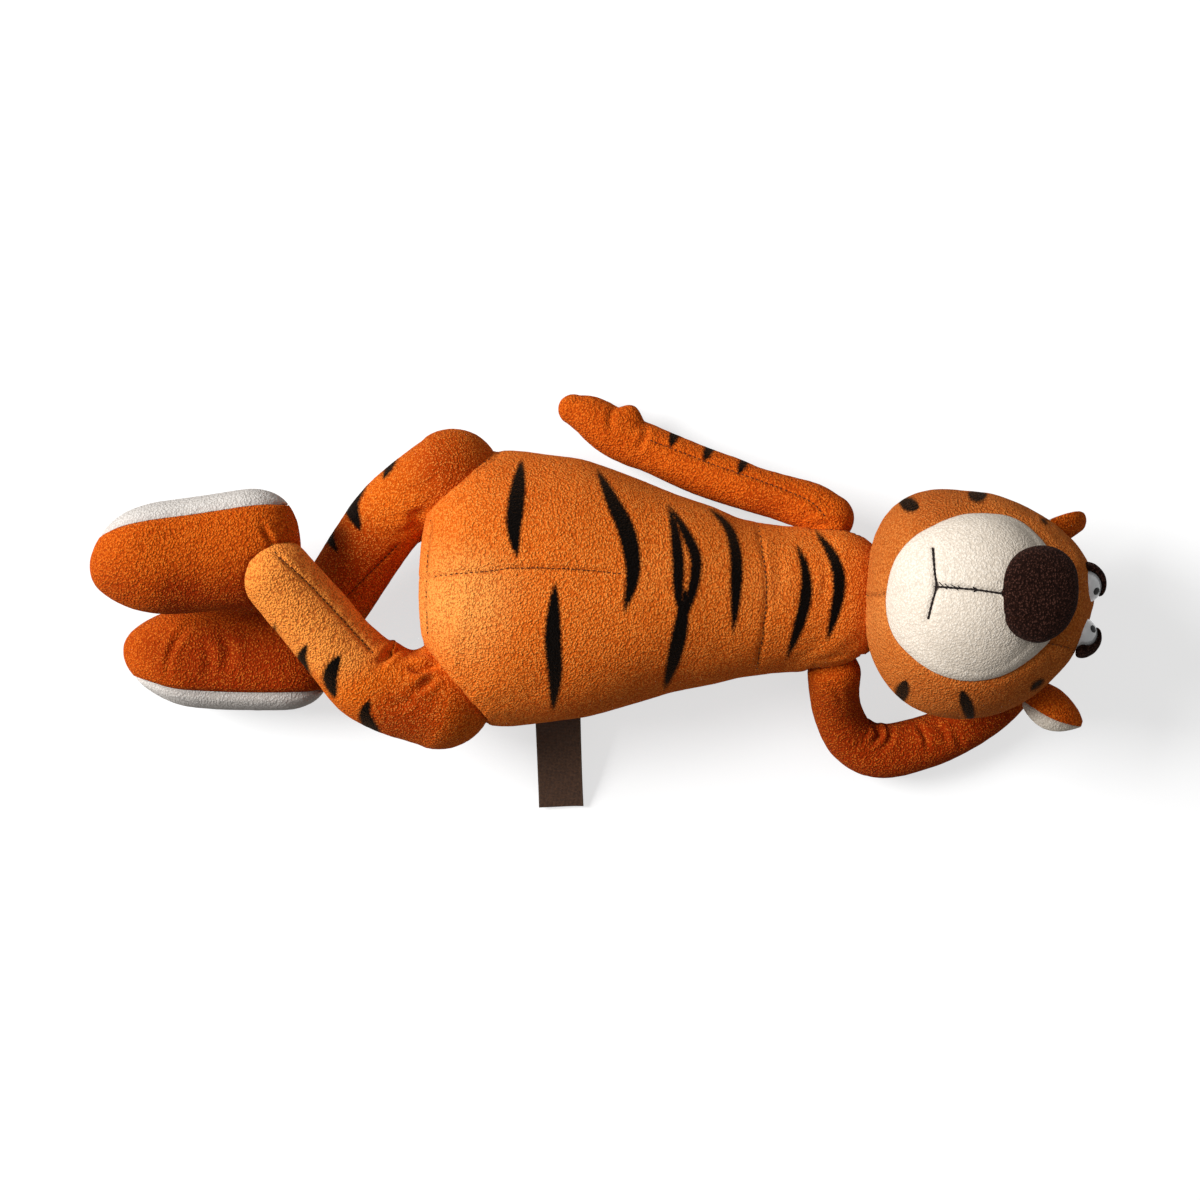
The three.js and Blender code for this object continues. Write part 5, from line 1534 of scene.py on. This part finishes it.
def build_eye(side, way):
    """A white ball, a pupil as a thin lens on it, and a brow: a strip bent over the ball, wider
    and thicker from one end to the other."""
    centre = np.array([EYE_ALONG, EYE_ACROSS * way, EYE_DEEP])
    gaze = np.array([0.55, -0.3 * way, 0.78])
    white = skin(f"{side}_eye_dome", head_world(cap_grid(centre, gaze, EYE_RADIUS, np.pi, 60, 72)),
                 EYE_WHITE)
    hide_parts(f"{side}_eye")
    spread = PUPIL_RADIUS / EYE_RADIUS
    top = cap_grid(centre, gaze, EYE_RADIUS, spread, 14, 48, rise=0.22)
    low = cap_grid(centre, gaze, EYE_RADIUS, spread, 14, 48, rise=-0.6)[::-1]
    pupil = skin(f"{side}_pupil_dot", head_world(np.concatenate([top, low])), EYE_BLACK)
    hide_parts(f"{side}_pupil")
    s = eased(70)[:, None]
    a = angles(48)[None]
    turn = (BROW_FROM + (BROW_TO - BROW_FROM) * s) * way
    round_end = np.sqrt(1 - np.abs(2 * s - 1) ** 7)
    half = BROW_DROP / 2 * (0.55 + 0.45 * s) * round_end
    thick = (1.3 + 2.5 * s) * round_end
    tilt = half * squared(np.cos(a), 3) + 0.06 + BROW_UP[side] * s
    radius = EYE_RADIUS + 0.15 + thick * (0.5 + 0.5 * squared(np.sin(a), 3))
    local = centre + np.stack([np.cos(turn) * np.cos(tilt) * radius,
                               np.sin(turn) * np.cos(tilt) * radius, np.sin(tilt) * radius], -1)
    grid = head_world(local)
    grid = raised(grid, outward(grid), 0.15, 121)
    brow = skin(f"{side}_brow_pile", grid, BROWN, stripe=FAR, seam=0.0)
    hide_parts(f"{side}_brow")
    for piece in (white, pupil, brow):
        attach(piece, "head")


build_eye("right", 1)
build_eye("left", -1)
for side in ("right", "left"):
    for slot in bpy.data.objects[f"{side}_eye_washer"].material_slots:
        slot.material = WASHER

# %% [markdown]
# An ear is two cloths sewn back to back and turned: orange outside, cream inside. It is cupped,
# so each layer is a leaf bent round an arc, and the cream one peeps out at the rolled edge.

# %% Ears
EAR_LENGTH, EAR_WIDTH, EAR_CUP = 27.0, 22.5, math.radians(150)
EAR_ROLL = {"right": math.radians(16), "left": math.radians(26)}
EAR_LEAN = {"right": math.radians(35), "left": math.radians(5)}
EAR_SPLAY = math.radians(20)
EAR_AT = np.array([25.1, 37.9, -8.4])
LINING_ROLL = {"right": 0.0, "left": math.radians(34)}


def ear_place(side, way):
    """The ear's own frame in the head's: it rolls about its length so that its back looks up,
    and then come a turn about Y and one about Z."""
    spin = turn_z(way * EAR_SPLAY) @ turn_y(EAR_LEAN[side]) @ turn_x(-way * EAR_ROLL[side])
    return EAR_AT * np.array([1, way, 1]), spin


def ear_layer(side, way, inner, outer, longer, rolled):
    """A leaf: at each share its half width is the ear's times sin(pi * lerp(.2, .97, share)) ** .8,
    bent round an arc of that radius. Its section is squared off and rounds at the rim, and the
    lining's arc goes on by the angle rolled, past the upper rim."""
    s = np.linspace(0, 1, 80)[:, None]
    a = angles(90)[None]
    spread = EAR_WIDTH / 2 * np.sin(np.pi * (0.2 + 0.77 * s)) ** 0.8
    t = EAR_CUP / 2 * squared(np.cos(a), 7)
    t = t + rolled * np.clip(t / (EAR_CUP / 2), 0, 1) * np.sin(np.pi * np.clip(s, 0, 1)) ** 0.25
    taper = np.sqrt(1 - np.clip((s - 0.85) / 0.15, 0, 1) ** 2 * 0.9)
    radius = spread + (inner + outer) / 2 + (outer - inner) / 2 * squared(np.sin(a), 3) * taper
    x = -2 + (EAR_LENGTH + 2 + longer) * s + 0 * a
    y = way * (spread * math.cos(EAR_CUP / 2) - radius * np.cos(t))
    local = np.stack(np.broadcast_arrays(x, y, radius * np.sin(t)), -1)
    at, spin = ear_place(side, way)
    return head_world(local @ spin.T + at)


def build_ear(side, way):
    layers = (
        ("ear_outside", "ear_back", DEEP, "deep_orange_plush", 0.0, 1.7, 0.0, 0.0),
        ("ear_inside", "ear_lining", CREAM, "cream_plush", -1.9, -0.25, 0.8, LINING_ROLL[side]),
    )
    for name, shell, cloth, slot, inner, outer, longer, rolled in layers:
        grid = ear_layer(side, way, inner, outer, longer, rolled)
        grid = raised(grid, outward(grid), 0.12, 131)
        piece = skin(f"{side}_{name}", grid, cloth, stripe=FAR, seam=0.0)
        dress(piece, f"{side}_ear", slot, 0.3, f"{side}_{shell}")


build_ear("right", 1)
build_ear("left", -1)

# %% [markdown]
# The tail lies under the back, in a dent of the body, where the picture can't show it. It is a
# guess: a thin tube with dark rings, like the other limbs.

# %% Tail
TAIL_RADII = [(8, 8), (6.6, 6.6), (6.5, 6.5), (5.8, 5.8)]
TAIL_RINGS = (30, 52, 74, 96)


def build_tail():
    grid = limb_grid(TAIL_LINE, TAIL_RADII, 150, 64)
    normal = outward(grid)
    along = grid[..., 0] - TAIL_LINE[0, 0]
    wave = 1.5 * np.sin(np.arctan2(normal[..., 1], normal[..., 2]) * 2)
    rings = [np.abs(along + wave - at) - 3.2 for at in TAIL_RINGS]
    grid = raised(grid, normal, 0.35, 141)
    tail = skin("tail_plush", grid, ORANGE, stripe=np.minimum.reduce(rings), seam=0.0)
    dress(tail, "tail", "orange_plush", 0.7, "tail_cover", "tail_stuffing")


build_tail()

# %% [markdown]
# The label is a woven ribbon folded double and caught in the side seam. It is left bare: only
# its weave, its two selvedges and the soft bend of the cloth are there to see.

# %% Label
LABEL_AT = np.array([-39.52, -55.381, 20.0])
LABEL_WIDTH, LABEL_REACH, LABEL_RIBBON, LABEL_LOOP = 21.0, 50.0, 0.6, 1.5
LABEL_TURN = math.radians(1.5)
LABEL_LOW = 18.5


def ribbon_finish():
    """A plain weave: its height is (1.6 + sin of the warp) * (1.6 + sin of the weft)."""
    material, tree, out = shader("label_weave")
    where = node(tree, "UVMap")
    where.uv_map = "weave"
    split = node(tree, "SeparateXYZ", Vector=where.outputs[0]).outputs
    warp = maths(tree, "SINE", maths(tree, "MULTIPLY", split[0], 2 * math.pi * 34))
    weft = maths(tree, "SINE", maths(tree, "MULTIPLY", split[1], 2 * math.pi * 150))
    height = maths(tree, "MULTIPLY", maths(tree, "ADD", warp, 1.6), maths(tree, "ADD", weft, 1.6))
    fleck = noise_node(tree, node(tree, "TexCoord").outputs["Object"], 900, 3, 0.6)
    shade = mixed(tree, ranged(tree, fleck, 0.35, 0.68), (0.050, 0.021, 0.009, 1),
                  (0.105, 0.046, 0.021, 1))
    # Painted shade: the low parts of the weave are darkened toward a near-black brown.
    shade = mixed(tree, ranged(tree, height, 0.3, 3.5, 0.6, 0.0), shade, (0.018, 0.008, 0.005, 1))
    edge = maths(tree, "ABSOLUTE", maths(tree, "SUBTRACT", split[0], 0.5))
    shade = mixed(tree, ranged(tree, edge, 0.45, 0.475, 0.0, 0.55), shade, (0.09, 0.05, 0.03, 1))
    bump = node(tree, "Bump", Strength=0.6, Distance=0.0002, Height=height)
    cloth = node(tree, "BsdfPrincipled", Base_Color=shade, Normal=bump.outputs["Normal"],
                 Roughness=0.62, Specular_IOR_Level=0.2)
    tree.links.new(cloth.outputs[0], out.inputs["Surface"])
    return material


def build_label():
    """The ribbon's path in its own frame: out along -Y on top, round a half circle, and back.
    It slopes to the floor, sags a little as sin(pi s), and lifts one corner."""
    half = LABEL_LOOP / 2 - LABEL_RIBBON / 2
    straight = LABEL_REACH - LABEL_LOOP / 2
    top = np.linspace(0, straight, 70)
    bend = np.linspace(0, np.pi, 16)[1:-1]
    out = np.r_[top, straight + half * np.sin(bend), top[::-1]]
    lift = np.r_[half + 0 * top, half * np.cos(bend), -half + 0 * top]
    across = np.linspace(-0.5, 0.5, 46)[None]
    share = (out / LABEL_REACH)[:, None]
    slope = math.asin(LABEL_LOW / LABEL_REACH)
    sag = 0.9 * np.sin(np.pi * share) + 0.5 * share**3 * (across * 2) ** 2 + 0 * across
    bow = 0.25 * np.sin(share * 9 + across * 5)
    z = lift[:, None] + sag + bow * share
    y = -out[:, None] * math.cos(slope) + z * math.sin(slope) * -1
    z = -out[:, None] * math.sin(slope) + z * math.cos(slope)
    x = across * LABEL_WIDTH * (1 - 0.012 * np.sin(np.pi * share)) + 0 * y
    grid = np.stack([x, y, z + 0 * x], -1) @ turn_z(LABEL_TURN).T + LABEL_AT
    label = open_skin("label_ribbon", grid, ribbon_finish(), 0.5)
    uv = label.data.uv_layers.new(name="weave")
    rows, columns = grid.shape[:2]
    u = np.broadcast_to(np.linspace(0, 1, columns)[None], (rows, columns)).ravel()
    v = np.broadcast_to(np.linspace(0, 1, rows)[:, None], (rows, columns)).ravel()
    corner = np.empty(len(label.data.loops), np.int64)
    label.data.loops.foreach_get("vertex_index", corner)
    both = np.stack([np.r_[u, u], np.r_[v, v]], -1)[corner]
    uv.data.foreach_set("uv", both.ravel().astype(np.float32))
    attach(label, "label")
    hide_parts("label_loop")


build_label()

# %% Finish
print("boxes written")
